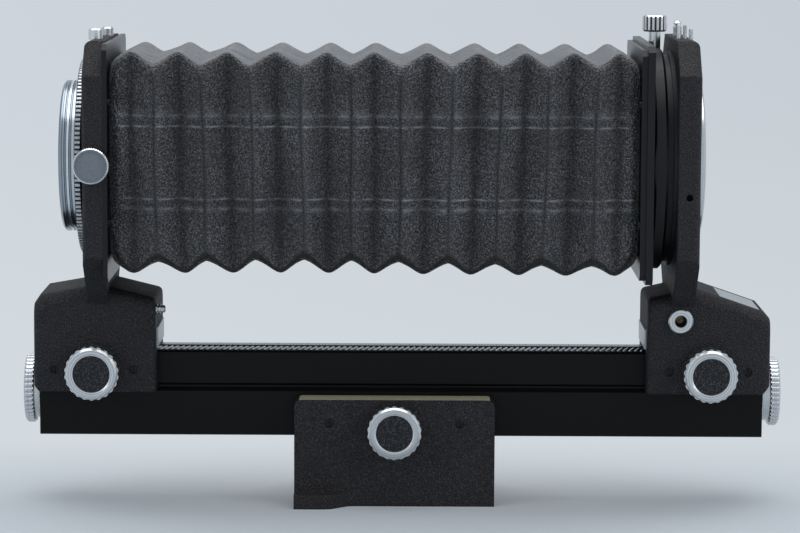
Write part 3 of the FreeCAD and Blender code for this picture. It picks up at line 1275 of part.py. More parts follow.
def export():
    """Check every object, then write one STEP file for each sub-part."""
    doc.recompute()
    faults = [item.Name for item in doc.Objects if {"Invalid", "Error"} & set(item.State)]
    for item in PARTS:
        shape = item.Shape
        if shape.isNull() or not shape.isValid() or not shape.Solids:
            faults.append(item.Label)
    if faults:
        raise RuntimeError("failed: " + ", ".join(faults))
    os.makedirs("parts", exist_ok=True)
    for item in PARTS:
        item.Shape.exportStep(f"parts/{item.Label}.step")
        print(item.Label, len(item.Shape.Solids), round(item.Shape.Volume, 1))


export()
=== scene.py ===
# %% [markdown]
# # A macro bellows unit in Blender
# The rigid parts of this unit were drawn in a CAD program, and they arrive here already in
# place, in metres. This lesson gives every one of them its real finish, sews the leather
# bellows that the CAD file only hints at, and sets up a small studio round the result.

# %% Load the rigid parts
import math
import random

import bpy
from mathutils import Matrix, Vector


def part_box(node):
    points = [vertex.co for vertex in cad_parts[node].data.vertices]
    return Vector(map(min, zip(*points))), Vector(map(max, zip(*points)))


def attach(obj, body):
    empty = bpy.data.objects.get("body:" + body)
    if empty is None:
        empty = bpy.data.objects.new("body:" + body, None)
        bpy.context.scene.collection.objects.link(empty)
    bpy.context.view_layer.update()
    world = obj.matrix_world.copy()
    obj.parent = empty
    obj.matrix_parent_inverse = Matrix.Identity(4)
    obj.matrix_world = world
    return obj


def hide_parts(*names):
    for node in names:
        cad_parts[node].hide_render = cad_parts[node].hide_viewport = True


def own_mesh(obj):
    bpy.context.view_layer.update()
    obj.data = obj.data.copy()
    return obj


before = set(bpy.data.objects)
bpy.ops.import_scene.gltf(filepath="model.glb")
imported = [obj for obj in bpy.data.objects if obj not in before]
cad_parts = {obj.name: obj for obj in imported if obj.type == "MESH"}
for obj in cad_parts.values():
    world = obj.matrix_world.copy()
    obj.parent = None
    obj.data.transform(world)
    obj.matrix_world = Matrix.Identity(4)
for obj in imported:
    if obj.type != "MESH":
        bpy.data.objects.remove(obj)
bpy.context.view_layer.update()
MM = 0.001

# %% [markdown]
# ## Colours, nodes and grain
# A painter's colour card is written in sRGB, but the renderer works in linear light, so one
# function turns hex values into linear ones. A second one adds a shader node, sets it up and
# joins its wires. Patterns are sized in millimetres: a noise texture that shows about one bump
# per unit needs a scale of one divided by the bump's width in metres.

# %% Turn hex colours into linear ones
def linear(hex_colour):
    """Linear red, green, blue and alpha of an sRGB hex colour."""
    parts = [int(hex_colour[i:i + 2], 16) / 255 for i in (1, 3, 5)]
    light = [c / 12.92 if c <= 0.04045 else ((c + 0.055) / 1.055) ** 2.4 for c in parts]
    return (*light, 1.0)


def per_mm(width):
    """Texture scale at which one bump is about this many millimetres wide."""
    return 1 / (width * MM)


print("mid grey #808080 is", round(linear("#808080")[0], 3), "in linear light")

# %% Add and wire one shader node
def add(tree, kind, settings=None, wires=None):
    """Adds a node. Settings fill its properties, its sockets and a colour ramp's stops, wires
    feed its sockets. Colours are hex values."""
    node = tree.nodes.new("ShaderNode" + kind)
    for key, value in (settings or {}).items():
        if key == "stops":
            marks = node.color_ramp.elements
            while len(marks) < len(value):
                marks.new(0.5)
            for mark, (place, colour) in zip(marks, value):
                mark.position = place
                mark.color = linear(colour)
        elif isinstance(key, str) and hasattr(node, key):
            setattr(node, key, value)
        else:
            is_hex = isinstance(value, str) and value.startswith("#")
            node.inputs[key].default_value = linear(value) if is_hex else value
    for key, source in (wires or {}).items():
        tree.links.new(source, node.inputs[key])
    return node


def wire(tree, source, shader, socket):
    """Leads a node's output to one socket of a shader."""
    tree.links.new(source, shader.inputs[socket])


def looks_up(tree, least=0.9):
    """1 on faces that look up, 0 on the others."""
    geometry = add(tree, "NewGeometry")
    facing = add(tree, "SeparateXYZ", wires={"Vector": geometry.outputs["True Normal"]})
    return add(tree, "Math", {"operation": "GREATER_THAN", 1: least}, {0: facing.outputs["Z"]}).outputs[0]


print("node helpers ready")

# %% Start a material and put it on parts
MATERIALS = {}


def start(name, colour, metallic, roughness, **sockets):
    """A new material: its node tree, its main shader and the object's own coordinates."""
    material = bpy.data.materials.new(name)
    material.use_nodes = True
    tree = material.node_tree
    shader = tree.nodes["Principled BSDF"]
    shader.inputs["Base Color"].default_value = linear(colour)
    shader.inputs["Metallic"].default_value = metallic
    shader.inputs["Roughness"].default_value = roughness
    for socket, value in sockets.items():
        shader.inputs[socket.replace("_", " ")].default_value = value
    where = add(tree, "TexCoord").outputs["Object"]
    MATERIALS[name] = material
    return tree, shader, where


def dress(material, *names):
    """Puts one material on CAD parts."""
    for name in names:
        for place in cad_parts[name].material_slots:
            place.material = MATERIALS[material]
    print(material, "on", len(names), "parts")


# %% [markdown]
# ## Castings: black wrinkle enamel
# Both standards and the carriage are light-alloy castings under a stoved wrinkle enamel. While
# it bakes, its skin shrinks into tiny ridges about half a millimetre apart. The eye sees a deep
# grey-black that never mirrors anything but is full of fine specks. Voronoi cells with a finer
# noise added give the ridges; a bevel node rounds the edges, because the sand mould has no sharp
# ones.

# %% Wrinkle enamel
tree, shader, where = start("wrinkle_enamel", "#141517", 0.0, 0.6, Specular_IOR_Level=0.22)
broad = add(tree, "TexNoise", {"Scale": per_mm(9), "Detail": 3.0}, {"Vector": where})
ridge = add(tree, "TexNoise", {"Scale": per_mm(0.42), "Detail": 2.0, "Roughness": 0.6},
            {"Vector": where})
cells = add(tree, "TexVoronoi", {"Scale": per_mm(0.7), "Randomness": 1.0}, {"Vector": where})
height = add(tree, "Math", {"operation": "MULTIPLY_ADD", 1: 0.8},
             {0: ridge.outputs["Fac"], 2: cells.outputs["Distance"]})
black = add(tree, "ValToRGB",
            {"stops": [(0.34, "#121113"), (0.50, "#222124"), (0.62, "#343336"), (0.72, "#4b4a4f")]},
            {"Fac": ridge.outputs["Fac"]})
wire(tree, black.outputs["Color"], shader, "Base Color")
dull = add(tree, "MapRange", {"To Min": 0.52, "To Max": 0.7}, {"Value": broad.outputs["Fac"]})
wire(tree, dull.outputs["Result"], shader, "Roughness")
rounded = add(tree, "Bevel", {"samples": 6, "Radius": 0.9 * MM})
bump = add(tree, "Bump", {"Strength": 1.0, "Distance": 0.26 * MM},
           {"Height": height.outputs["Value"], "Normal": rounded.outputs["Normal"]})
wire(tree, bump.outputs["Normal"], shader, "Normal")
dress("wrinkle_enamel", "rear_standard", "front_standard")

# %% [markdown]
# The carriage wears the same enamel, but the ledges along its top, where they face up, are
# painted a pale khaki: painted light, standing in for the light that falls on them. The normal's
# upward part and the height pick those ledges out.

# %% Enamel with painted light on the carriage's ledges
material = MATERIALS["wrinkle_enamel"].copy()
material.name = "wrinkle_enamel_painted_lit_ledges"
MATERIALS["wrinkle_enamel_painted_lit_ledges"] = material
tree = material.node_tree
shader = tree.nodes["Principled BSDF"]
enamel = shader.inputs["Base Color"].links[0].from_socket
place = add(tree, "SeparateXYZ", wires={"Vector": add(tree, "TexCoord").outputs["Object"]})
LEDGE_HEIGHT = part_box("tripod_block")[1].z - 0.3 * MM
ledge = add(tree, "Math", {"operation": "GREATER_THAN", 1: LEDGE_HEIGHT}, {0: place.outputs["Z"]})
painted_lit_ledge = add(tree, "Math", {"operation": "MULTIPLY"}, {0: looks_up(tree), 1: ledge.outputs[0]})
# Painted light: the ledges that face up are painted a pale khaki, as if lit.
worn = add(tree, "Mix", {"data_type": "RGBA", 7: "#bab79c"}, {0: painted_lit_ledge.outputs[0], 6: enamel})
wire(tree, worn.outputs[2], shader, "Base Color")
print("ledges start at", round(LEDGE_HEIGHT / MM, 1), "mm")
dress("wrinkle_enamel_painted_lit_ledges", "tripod_block")

# %% [markdown]
# ## Rail: black anodised aluminium
# The rail is a drawn bar. Drawing leaves lines along it, far finer than a hair, and anodising
# turns the skin black but keeps a silky sheen. Noise that is stretched a hundred times along
# the bar makes those lines; only the sheen changes, not the colour. The faces that look up
# have been dulled by the standards that slide on them, so they don't mirror the room.

# %% Black anodised rail
tree, shader, where = start("black_anodised_aluminium", "#070708", 0.0, 0.38,
                            Specular_IOR_Level=0.16)
stretch = add(tree, "Mapping", {"Scale": (0.01, 1.0, 1.0)}, {"Vector": where})
lines = add(tree, "TexNoise", {"Scale": per_mm(0.35), "Detail": 2.0},
            {"Vector": stretch.outputs["Vector"]})
sheen = add(tree, "MapRange", {"To Min": 0.30, "To Max": 0.46}, {"Value": lines.outputs["Fac"]})
dulled = add(tree, "Math", {"operation": "MAXIMUM"}, {0: sheen.outputs["Result"], 1: looks_up(tree)})
wire(tree, dulled.outputs[0], shader, "Roughness")
bump = add(tree, "Bump", {"Strength": 0.12, "Distance": 0.02 * MM}, {"Height": lines.outputs["Fac"]})
wire(tree, bump.outputs["Normal"], shader, "Normal")
dress("black_anodised_aluminium", "rail")

# %% [markdown]
# The racks are milled steel, bright on the teeth's tips. The gaps between the teeth are painted
# near-black as painted shade. One part holds the upper and the lower rack, so the gaps are found by
# their distance from its middle.

# %% Milled racks with painted shade in the gaps
tree, shader, where = start("milled_steel", "#b4b8bb", 1.0, 0.34)
low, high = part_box("racks")
place = add(tree, "SeparateXYZ", wires={"Vector": where})
level = add(tree, "Math", {"operation": "SUBTRACT", 1: (low.z + high.z) / 2}, {0: place.outputs["Z"]})
from_tips = add(tree, "Math", {"operation": "ABSOLUTE"}, {0: level.outputs[0]})
half = (high.z - low.z) / 2
painted_gap_shade = add(tree, "MapRange", {"From Min": half - 0.5 * MM, "From Max": half - 0.2 * MM},
           {"Value": from_tips.outputs[0]})
oil = add(tree, "TexNoise", {"Scale": per_mm(2.4), "Detail": 3.0}, {"Vector": where})
clean = add(tree, "ValToRGB", {"stops": [(0.3, "#989b9e"), (0.7, "#c4c7c9")]},
            {"Fac": oil.outputs["Fac"]})
# Painted shade: the gaps between the teeth are near-black.
teeth = add(tree, "Mix", {"data_type": "RGBA", 6: "#0b0b0c"},
            {0: painted_gap_shade.outputs["Result"], 7: clean.outputs["Color"]})
wire(tree, teeth.outputs[2], shader, "Base Color")
dress("milled_steel", "racks")

# %% [markdown]
# ## Knobs: satin chrome
# The knobs are turned from brass, fluted, then plated with nickel and chrome. The lathe leaves
# fine rings round the axis that the plating can't hide. Generated coordinates run from 0 to 1
# across each part's own box, so the middle of every knob is at a half, and the distance from
# it gives the rings to all of them with one material. Real rings are a tenth of a millimetre
# apart. They are drawn three times as wide, because finer ones don't show.

# %% Turning rings round the middle of a part
def from_middle(tree, part, across):
    """Distance in metres from the middle of a box as large as this part's, along some axes."""
    low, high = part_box(part)
    size = [(top - bottom) * used for bottom, top, used in zip(low, high, across)]
    box = add(tree, "TexCoord").outputs["Generated"]
    middle = add(tree, "VectorMath", {"operation": "SUBTRACT", 1: (0.5, 0.5, 0.5)}, {0: box})
    scaled = add(tree, "VectorMath", {"operation": "MULTIPLY", 1: size}, {0: middle.outputs[0]})
    return add(tree, "VectorMath", {"operation": "LENGTH"}, {0: scaled.outputs[0]}).outputs["Value"]


def turned(name, part, across, colours, width=0.3):
    """Chrome over turned metal: rings of a width in mm, in colour, polish and bump."""
    tree, shader, where = start(name, colours[1], 1.0, 0.2)
    away = from_middle(tree, part, across)
    place = add(tree, "SeparateXYZ", wires={"Vector": where})
    spot = add(tree, "CombineXYZ", wires={"X": away, "Y": place.outputs["Y" if across[0] else "X"]})
    rings = add(tree, "TexNoise", {"Scale": per_mm(width), "Detail": 2.0}, {"Vector": spot.outputs[0]})
    tint = add(tree, "ValToRGB", {"stops": [(0.35, colours[0]), (0.65, colours[1])]},
               {"Fac": rings.outputs["Fac"]})
    wire(tree, tint.outputs["Color"], shader, "Base Color")
    polish = add(tree, "MapRange", {"To Min": 0.16, "To Max": 0.32}, {"Value": rings.outputs["Fac"]})
    wire(tree, polish.outputs["Result"], shader, "Roughness")
    bump = add(tree, "Bump", {"Strength": 0.3, "Distance": 0.03 * MM}, {"Height": rings.outputs["Fac"]})
    wire(tree, bump.outputs["Normal"], shader, "Normal")
    return tree, shader, away


print("ring scale per metre:", round(per_mm(0.3)))

# %% Chrome plating
turned("turned_chrome_plating", "rear_lock_knob", (1, 0, 1), ("#a9adb0", "#dfe2e4"))
dress("turned_chrome_plating", "rear_lock_knob", "front_lock_knob", "carriage_lock_knob",
      "rear_drive_knob", "front_drive_knob", "carriage_drive_knob")
turned("turned_chrome_wheels", "rear_end_wheel", (0, 1, 1), ("#a9adb0", "#dfe2e4"))
dress("turned_chrome_wheels", "rear_end_wheel", "front_end_wheel", "lens_mount_ring")

# %% [markdown]
# The clamp's thumb screw is polished chrome, and the flutes of its head are painted dark as
# painted shade. A flute's floor is a little nearer to the axis than the ridges, so the distance from the
# axis finds it. The head's top and the stem are kept bright.

# %% Fluted thumb screw
tree, shader, where = start("fluted_chrome_plating", "#d5d8da", 1.0, 0.2)
low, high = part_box("clamp_screw")
away = from_middle(tree, "clamp_screw", (1, 1, 0))
rim = (high.x - low.x) / 2
flute = add(tree, "MapRange", {"From Min": rim - 0.25 * MM, "From Max": rim - 0.1 * MM}, {"Value": away})
stem = add(tree, "Math", {"operation": "LESS_THAN", 1: rim - 0.9 * MM}, {0: away})
outside = add(tree, "Math", {"operation": "MAXIMUM"}, {0: looks_up(tree, 0.5), 1: stem.outputs[0]})
bright = add(tree, "Math", {"operation": "MAXIMUM"}, {0: outside.outputs[0], 1: flute.outputs["Result"]})
# Painted shade on the flutes' floors; the ridges, the head's top and the stem keep the chrome's colour.
painted_flute_shade = add(tree, "Mix", {"data_type": "RGBA", 6: "#2a2b2d", 7: "#d5d8da"}, {0: bright.outputs[0]})
wire(tree, painted_flute_shade.outputs[2], shader, "Base Color")
wear = add(tree, "TexNoise", {"Scale": per_mm(1.2), "Detail": 2.0}, {"Vector": where})
polish = add(tree, "MapRange", {"To Min": 0.14, "To Max": 0.28}, {"Value": wear.outputs["Fac"]})
wire(tree, polish.outputs["Result"], shader, "Roughness")
dress("fluted_chrome_plating", "clamp_screw")

# %% [markdown]
# The lens ring's screws and both release buttons are too small to show turning rings. They are
# plain satin chrome, a little smeared by fingers.

# %% Satin chrome for small fittings
tree, shader, where = start("satin_chrome_plating", "#d5d8da", 1.0, 0.2)
smear = add(tree, "TexNoise", {"Scale": per_mm(1.6), "Detail": 3.0}, {"Vector": where})
polish = add(tree, "MapRange", {"To Min": 0.16, "To Max": 0.30}, {"Value": smear.outputs["Fac"]})
wire(tree, polish.outputs["Result"], shader, "Roughness")
dress("satin_chrome_plating", "lens_mount_screws", "lens_release_button", "rear_release_button")

# %% [markdown]
# The cable-release socket is the same chrome, but the thread inside its hole is painted dark: painted
# shade, with old oil in it. The plunger behind it is tarnished brass.

# %% Socket with a dark hole
tree, shader, away = turned("socket_chrome_plating", "release_socket", (1, 0, 1),
                            ("#b4b8ba", "#d9dcde"))
bright = shader.inputs["Base Color"].links[0].from_socket
hole = add(tree, "Math", {"operation": "LESS_THAN", 1: 2.05 * MM}, {0: away})
# The hole is painted dark: painted shade, with old oil.
oil_and_painted_shade = add(tree, "Mix", {"data_type": "RGBA", 7: "#1f1d1a"}, {0: hole.outputs[0], 6: bright})
wire(tree, oil_and_painted_shade.outputs[2], shader, "Base Color")
dress("socket_chrome_plating", "release_socket")

tree, shader, where = start("tarnished_brass", "#6b5f49", 1.0, 0.42)
stain = add(tree, "TexNoise", {"Scale": per_mm(0.8), "Detail": 2.0}, {"Vector": where})
brown = add(tree, "ValToRGB", {"stops": [(0.3, "#3b352a"), (0.7, "#847659")]},
            {"Fac": stain.outputs["Fac"]})
wire(tree, brown.outputs["Color"], shader, "Base Color")
dress("tarnished_brass", "release_plunger")

# %% [markdown]
# The camera flange is chromed too, but it is turned about X and looks a little bluer, as
# chrome over steel does. Its rings are drawn wider still, at 0.9 mm. The grip ring beside it and
# the posts on top are matt chrome, and the gaps between the ring's ribs are painted near-black as painted
# shade.

# %% Cool chrome for the camera flange, matt chrome for the grip ring
turned("cool_chrome_plating", "camera_flange", (0, 1, 1), ("#5a6671", "#dde5ec"), 0.9)
dress("cool_chrome_plating", "camera_flange")

tree, shader, where = start("matt_chrome_plating", "#a9adb0", 1.0, 0.3)
grime = add(tree, "TexNoise", {"Scale": per_mm(0.8), "Detail": 3.0}, {"Vector": where})
chrome = add(tree, "ValToRGB", {"stops": [(0.3, "#8f9396"), (0.65, "#c9cdd0")]},
             {"Fac": grime.outputs["Fac"]})
wire(tree, chrome.outputs["Color"], shader, "Base Color")
dress("matt_chrome_plating", "front_top_posts", "rear_top_post", "rear_stub")

# %% Knurled ring with dark gaps between its ribs
material = MATERIALS["matt_chrome_plating"].copy()
material.name = "knurled_chrome_plating"
MATERIALS["knurled_chrome_plating"] = material
tree = material.node_tree
shader = tree.nodes["Principled BSDF"]
chrome = shader.inputs["Base Color"].links[0].from_socket
low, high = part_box("camera_grip_ring")
away = from_middle(tree, "camera_grip_ring", (0, 1, 1))
rim = (high.z - low.z) / 2
rib = add(tree, "MapRange", {"From Min": rim - 0.28 * MM, "From Max": rim - 0.1 * MM}, {"Value": away})
# Painted shade: the gaps between the ribs are near-black.
painted_rib_shade = add(tree, "Mix", {"data_type": "RGBA", 6: "#101112"}, {0: rib.outputs["Result"], 7: chrome})
wire(tree, painted_rib_shade.outputs[2], shader, "Base Color")
dress("knurled_chrome_plating", "camera_grip_ring")

# %% [markdown]
# ## Knob faces: pebbled leatherette
# Each knob's face is a disc of black book-cloth, pressed with a pebble grain of about three
# quarters of a millimetre. Voronoi cells raise the pebbles: high in the middle, low in the seams
# between them. The ink lies uneven over them, and a finer noise gives its darker and paler specks.

# %% Pebbled leatherette
tree, shader, where = start("pebbled_leatherette", "#1b1c20", 0.0, 0.46, Specular_IOR_Level=0.3)
pebble = add(tree, "TexVoronoi", {"feature": "SMOOTH_F1", "Scale": per_mm(0.75), "Smoothness": 0.25},
             {"Vector": where})
lift = add(tree, "Math", {"operation": "SUBTRACT", 0: 1.0}, {1: pebble.outputs["Distance"]})
specks = add(tree, "TexNoise", {"Scale": per_mm(0.5), "Detail": 1.0}, {"Vector": where})
ink = add(tree, "ValToRGB", {"stops": [(0.37, "#07080a"), (0.52, "#101216"), (0.66, "#3a3d44")]},
          {"Fac": specks.outputs["Fac"]})
wire(tree, ink.outputs["Color"], shader, "Base Color")
bump = add(tree, "Bump", {"Strength": 1.0, "Distance": 0.3 * MM}, {"Height": lift.outputs["Value"]})
wire(tree, bump.outputs["Normal"], shader, "Normal")
dress("pebbled_leatherette", "rear_lock_insert", "front_lock_insert", "carriage_lock_insert",
      "rear_drive_insert", "front_drive_insert", "carriage_drive_insert")

# %% [markdown]
# ## Turret lock: chrome rim, slate face
# This small screw has a bright knurled rim and a recessed face sprayed slate grey. One material
# covers both: the distance from the screw's axis says which is which.

# %% Slate face inside a bright rim
low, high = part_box("rotation_lock_knob")
axis_x, axis_z = (low.x + high.x) / 2, (low.z + high.z) / 2
tree, shader, where = start("slate_face_chrome_rim", "#d5d8da", 1.0, 0.22)
place = add(tree, "SeparateXYZ", wires={"Vector": where})
across = add(tree, "Math", {"operation": "SUBTRACT", 1: axis_x}, {0: place.outputs["X"]})
upward = add(tree, "Math", {"operation": "SUBTRACT", 1: axis_z}, {0: place.outputs["Z"]})
flat = add(tree, "CombineXYZ", wires={"X": across.outputs[0], "Y": upward.outputs[0]})
from_axis = add(tree, "VectorMath", {"operation": "LENGTH"}, {0: flat.outputs[0]})
rim = (high.x - low.x) / 2
face = add(tree, "Math", {"operation": "LESS_THAN", 1: rim - 0.5 * MM}, {0: from_axis.outputs["Value"]})
speck = add(tree, "TexNoise", {"Scale": per_mm(0.4), "Detail": 2.0}, {"Vector": where})
slate = add(tree, "ValToRGB", {"stops": [(0.3, "#626a74"), (0.7, "#77808a")]},
            {"Fac": speck.outputs["Fac"]})
both = add(tree, "Mix", {"data_type": "RGBA", 6: "#d5d8da"},
           {0: face.outputs[0], 7: slate.outputs["Color"]})
wire(tree, both.outputs[2], shader, "Base Color")
metal = add(tree, "Math", {"operation": "SUBTRACT", 0: 1.0}, {1: face.outputs[0]})
wire(tree, metal.outputs[0], shader, "Metallic")
matt = add(tree, "MapRange", {"To Min": 0.22, "To Max": 0.6}, {"Value": face.outputs[0]})
wire(tree, matt.outputs["Result"], shader, "Roughness")
dress("slate_face_chrome_rim", "rotation_lock_knob")

# %% [markdown]
# ## Black lacquer, brass, steel and bare plates
# The collar is satin black lacquer over turned metal, and the flat bellows frames have a
# glossier coat. Gibs, keys and bushes are brass with a machined skin, pinions and screws are
# steel, and most of the screws are blackened. The index strips and the little plate on the lens
# base are bare aluminium.

# %% Lacquers
tree, shader, where = start("satin_black_lacquer", "#0a0c10", 0.0, 0.4, Specular_IOR_Level=0.26)
haze = add(tree, "TexNoise", {"Scale": per_mm(3), "Detail": 3.0}, {"Vector": where})
sheen = add(tree, "MapRange", {"To Min": 0.34, "To Max": 0.48}, {"Value": haze.outputs["Fac"]})
wire(tree, sheen.outputs["Result"], shader, "Roughness")
dress("satin_black_lacquer", "clamp_ring", "turret_keeper")

tree, shader, where = start("blue_black_lacquer", "#0b0d12", 0.0, 0.3, Specular_IOR_Level=0.3)
peel = add(tree, "TexNoise", {"Scale": per_mm(1.2), "Detail": 2.0}, {"Vector": where})
bump = add(tree, "Bump", {"Strength": 0.15, "Distance": 0.03 * MM}, {"Height": peel.outputs["Fac"]})
wire(tree, bump.outputs["Normal"], shader, "Normal")
dress("blue_black_lacquer", "spigot_frame", "front_bellows_frame", "rear_bellows_frame")

# %% Brass, steel and bare aluminium
tree, shader, where = start("machined_brass", "#b9984f", 1.0, 0.34)
tarnish = add(tree, "TexNoise", {"Scale": per_mm(4), "Detail": 3.0}, {"Vector": where})
yellow = add(tree, "ValToRGB", {"stops": [(0.3, "#9a7b3c"), (0.7, "#c8a962")]},
             {"Fac": tarnish.outputs["Fac"]})
wire(tree, yellow.outputs["Color"], shader, "Base Color")
dress("machined_brass", "carriage_gib", "rear_gib", "front_gib", "carriage_bush", "rear_pinion_bush",
      "front_pinion_bush", "carriage_keys", "tripod_bushing")

tree, shader, where = start("machined_steel", "#8d9093", 1.0, 0.32)
marks = add(tree, "TexNoise", {"Scale": per_mm(0.5), "Detail": 2.0}, {"Vector": where})
grey = add(tree, "ValToRGB", {"stops": [(0.3, "#6c6f72"), (0.7, "#a2a5a8")]},
           {"Fac": marks.outputs["Fac"]})
wire(tree, grey.outputs["Color"], shader, "Base Color")
dress("machined_steel", "carriage_pinion", "rear_pinion", "front_pinion", "turret_screws")

tree, shader, where = start("blackened_screws", "#232426", 1.0, 0.45)
marks = add(tree, "TexNoise", {"Scale": per_mm(0.4), "Detail": 2.0}, {"Vector": where})
black = add(tree, "ValToRGB", {"stops": [(0.3, "#191a1b"), (0.7, "#3b3d40")]},
            {"Fac": marks.outputs["Fac"]})
wire(tree, black.outputs["Color"], shader, "Base Color")
dress("blackened_screws", "carriage_gib_screws", "rear_gib_screws", "front_gib_screws",
      "rear_frame_screws", "front_frame_screws")

tree, shader, where = start("bare_anodised_aluminium", "#b3b8bb", 1.0, 0.42)
grainline = add(tree, "Mapping", {"Scale": (1.0, 0.03, 1.0)}, {"Vector": where})
brushed = add(tree, "TexNoise", {"Scale": per_mm(0.3), "Detail": 2.0},
              {"Vector": grainline.outputs["Vector"]})
sheen = add(tree, "MapRange", {"To Min": 0.34, "To Max": 0.5}, {"Value": brushed.outputs["Fac"]})
wire(tree, sheen.outputs["Result"], shader, "Roughness")
dress("bare_anodised_aluminium", "rear_index_plate", "front_index_plate", "name_plate")

# %% [markdown]
# The strip in the rail's top is a scale: bare aluminium with black rulings a millimetre apart,
# every fifth one longer and every tenth one longer still. No figures are drawn. The rulings come
# from a wave that swings to and fro along X and is nought at each of them.

# %% Ruled scale strip
tree, shader, where = start("ruled_aluminium_strip", "#b3b8bb", 1.0, 0.42)
low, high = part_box("rail_scale")
place = add(tree, "SeparateXYZ", wires={"Vector": where})
HALF_LINE = 0.09 * MM
rulings = []
for spacing_mm, share in ((1.0, 0.40), (5.0, 0.65), (10.0, 0.9)):
    turn = add(tree, "Math", {"operation": "PINGPONG", 1: spacing_mm * MM / 2}, {0: place.outputs["X"]})
    dark = add(tree, "Math", {"operation": "LESS_THAN", 1: HALF_LINE}, {0: turn.outputs[0]})
    end = low.y + (high.y - low.y) * share
    inside = add(tree, "Math", {"operation": "LESS_THAN", 1: end}, {0: place.outputs["Y"]})
    rulings.append(add(tree, "Math", {"operation": "MULTIPLY"}, {0: dark.outputs[0], 1: inside.outputs[0]}))
either = rulings[0].outputs[0]
for ruling in rulings[1:]:
    either = add(tree, "Math", {"operation": "MAXIMUM"}, {0: either, 1: ruling.outputs[0]}).outputs[0]
ruled = add(tree, "ValToRGB", {"stops": [(0.0, "#b3b8bb"), (1.0, "#141516")]}, {"Fac": either})
wire(tree, ruled.outputs["Color"], shader, "Base Color")
dress("ruled_aluminium_strip", "rail_scale")

# %% [markdown]
# ## Bellows leather
# A bellows of this kind is thin goatskin over card stiffeners and black cloth. The dye is dull
# black, but the crowns of the pebbled grain have been polished by handling, so light catches
# them as tiny specks, and at a low angle the skin looks pale grey. A sheen layer and a second,
# finer grain give that. Dark crease lines run along the crests, and painted shade darkens the
# valleys and the lower corners. The skin has faded in broad clouds. The top is painted paler in
# faint streaks along the tube, part dust and part painted light, and a strip beside each crest
# of the sides is painted paler as painted light.

# %% Pebbled goatskin
tree, shader, where = start("pebbled_goatskin", "#303134", 0.0, 0.5, Specular_IOR_Level=0.4,
                            Sheen_Weight=0.4, Sheen_Roughness=0.3)
pebble = add(tree, "TexVoronoi", {"feature": "SMOOTH_F1", "Scale": per_mm(0.85), "Smoothness": 0.2},
             {"Vector": where})
pores = add(tree, "TexNoise", {"Scale": per_mm(0.52), "Detail": 1.5}, {"Vector": where})
clouds = add(tree, "TexNoise", {"Scale": per_mm(22), "Detail": 3.0}, {"Vector": where})
skin = add(tree, "ValToRGB", {"stops": [(0.37, "#0f0f11"), (0.50, "#303134"), (0.64, "#6a6b70")]},
           {"Fac": pores.outputs["Fac"]})
cloudy = add(tree, "ValToRGB", {"stops": [(0.3, "#bcbcbe"), (0.7, "#ffffff")]},
             {"Fac": clouds.outputs["Fac"]})
crease = add(tree, "Attribute", {"attribute_name": "crease"})
worn = add(tree, "Attribute", {"attribute_name": "worn"})
dusty = add(tree, "Attribute", {"attribute_name": "dusty"})
pulled = add(tree, "Mapping", {"Scale": (0.08, 1.0, 0.0)}, {"Vector": where})
streaks = add(tree, "TexNoise", {"Scale": per_mm(1.8), "Detail": 2.0},
              {"Vector": pulled.outputs["Vector"]})
dust_and_light = add(tree, "ValToRGB", {"stops": [(0.36, "#3e4043"), (0.5, "#626569"), (0.64, "#8d9095")]},
           {"Fac": streaks.outputs["Fac"]})
scuffed = add(tree, "Mix", {"data_type": "RGBA", 7: "#989ba0"},
              {0: worn.outputs["Fac"], 6: skin.outputs["Color"]})
# Painted shade: near-black along the valleys and the lower corners, with dark crease lines on the crests.
creased_and_shaded = add(tree, "Mix", {"data_type": "RGBA", 7: "#050506"},
             {0: crease.outputs["Fac"], 6: scuffed.outputs[2]})
faded = add(tree, "Mix", {"data_type": "RGBA", "blend_type": "MULTIPLY", 0: 1.0},
            {6: creased_and_shaded.outputs[2], 7: cloudy.outputs["Color"]})
# The top's paleness, part dust and part painted light, and the painted light beside the crests of the
# sides.
dusted_and_lit = add(tree, "Mix", {"data_type": "RGBA"},
               {0: dusty.outputs["Fac"], 6: faded.outputs[2], 7: dust_and_light.outputs["Color"]})
wire(tree, dusted_and_lit.outputs[2], shader, "Base Color")
gloss = add(tree, "MapRange", {"From Min": 0.1, "From Max": 0.6, "To Min": 0.34, "To Max": 0.6},
            {"Value": pebble.outputs["Distance"]})
wire(tree, gloss.outputs["Result"], shader, "Roughness")
lift = add(tree, "Math", {"operation": "MULTIPLY_ADD", 1: -1.2},
           {0: pebble.outputs["Distance"], 2: pores.outputs["Fac"]})
bump = add(tree, "Bump", {"Strength": 1.0, "Distance": 0.38 * MM}, {"Height": lift.outputs["Value"]})
wire(tree, bump.outputs["Normal"], shader, "Normal")
print("pebbled_goatskin is ready for the bellows")

# %% [markdown]
# ## Folding the bellows
# The bellows is a rectangular tube of 22 pleats. Where its top and bottom stand out, its sides go
# in, one pleat later the other way round: that is the only way a leather tube can fold at its
# corners without stretching. A pleat is counted from the camera end: at even counts the sides are
# out, at odd ones they are in. Skin turns sharply over a stiffener's edge and softly where it is
# free, so the wave between two pleats is an arcsine of a cosine, sharp on one side and round on
# the other. At both frames the tube narrows to the window it is glued round, and small dents
# leave room for the heads of the frames' screws when the bellows is pushed together. Its last
# crests there are round shoulders. The pleats hang a little closer together below than above,
# and none is exactly as wide as the next.

# %% Set out the pleats
rear_low, rear_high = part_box("bellows_rear")
# Where the tube starts, where its halves meet, where it ends, and the height of its axis.
START, MIDDLE, END = rear_low.x, rear_high.x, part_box("bellows_front")[1].x
CENTRE_Z = (rear_low.z + rear_high.z) / 2
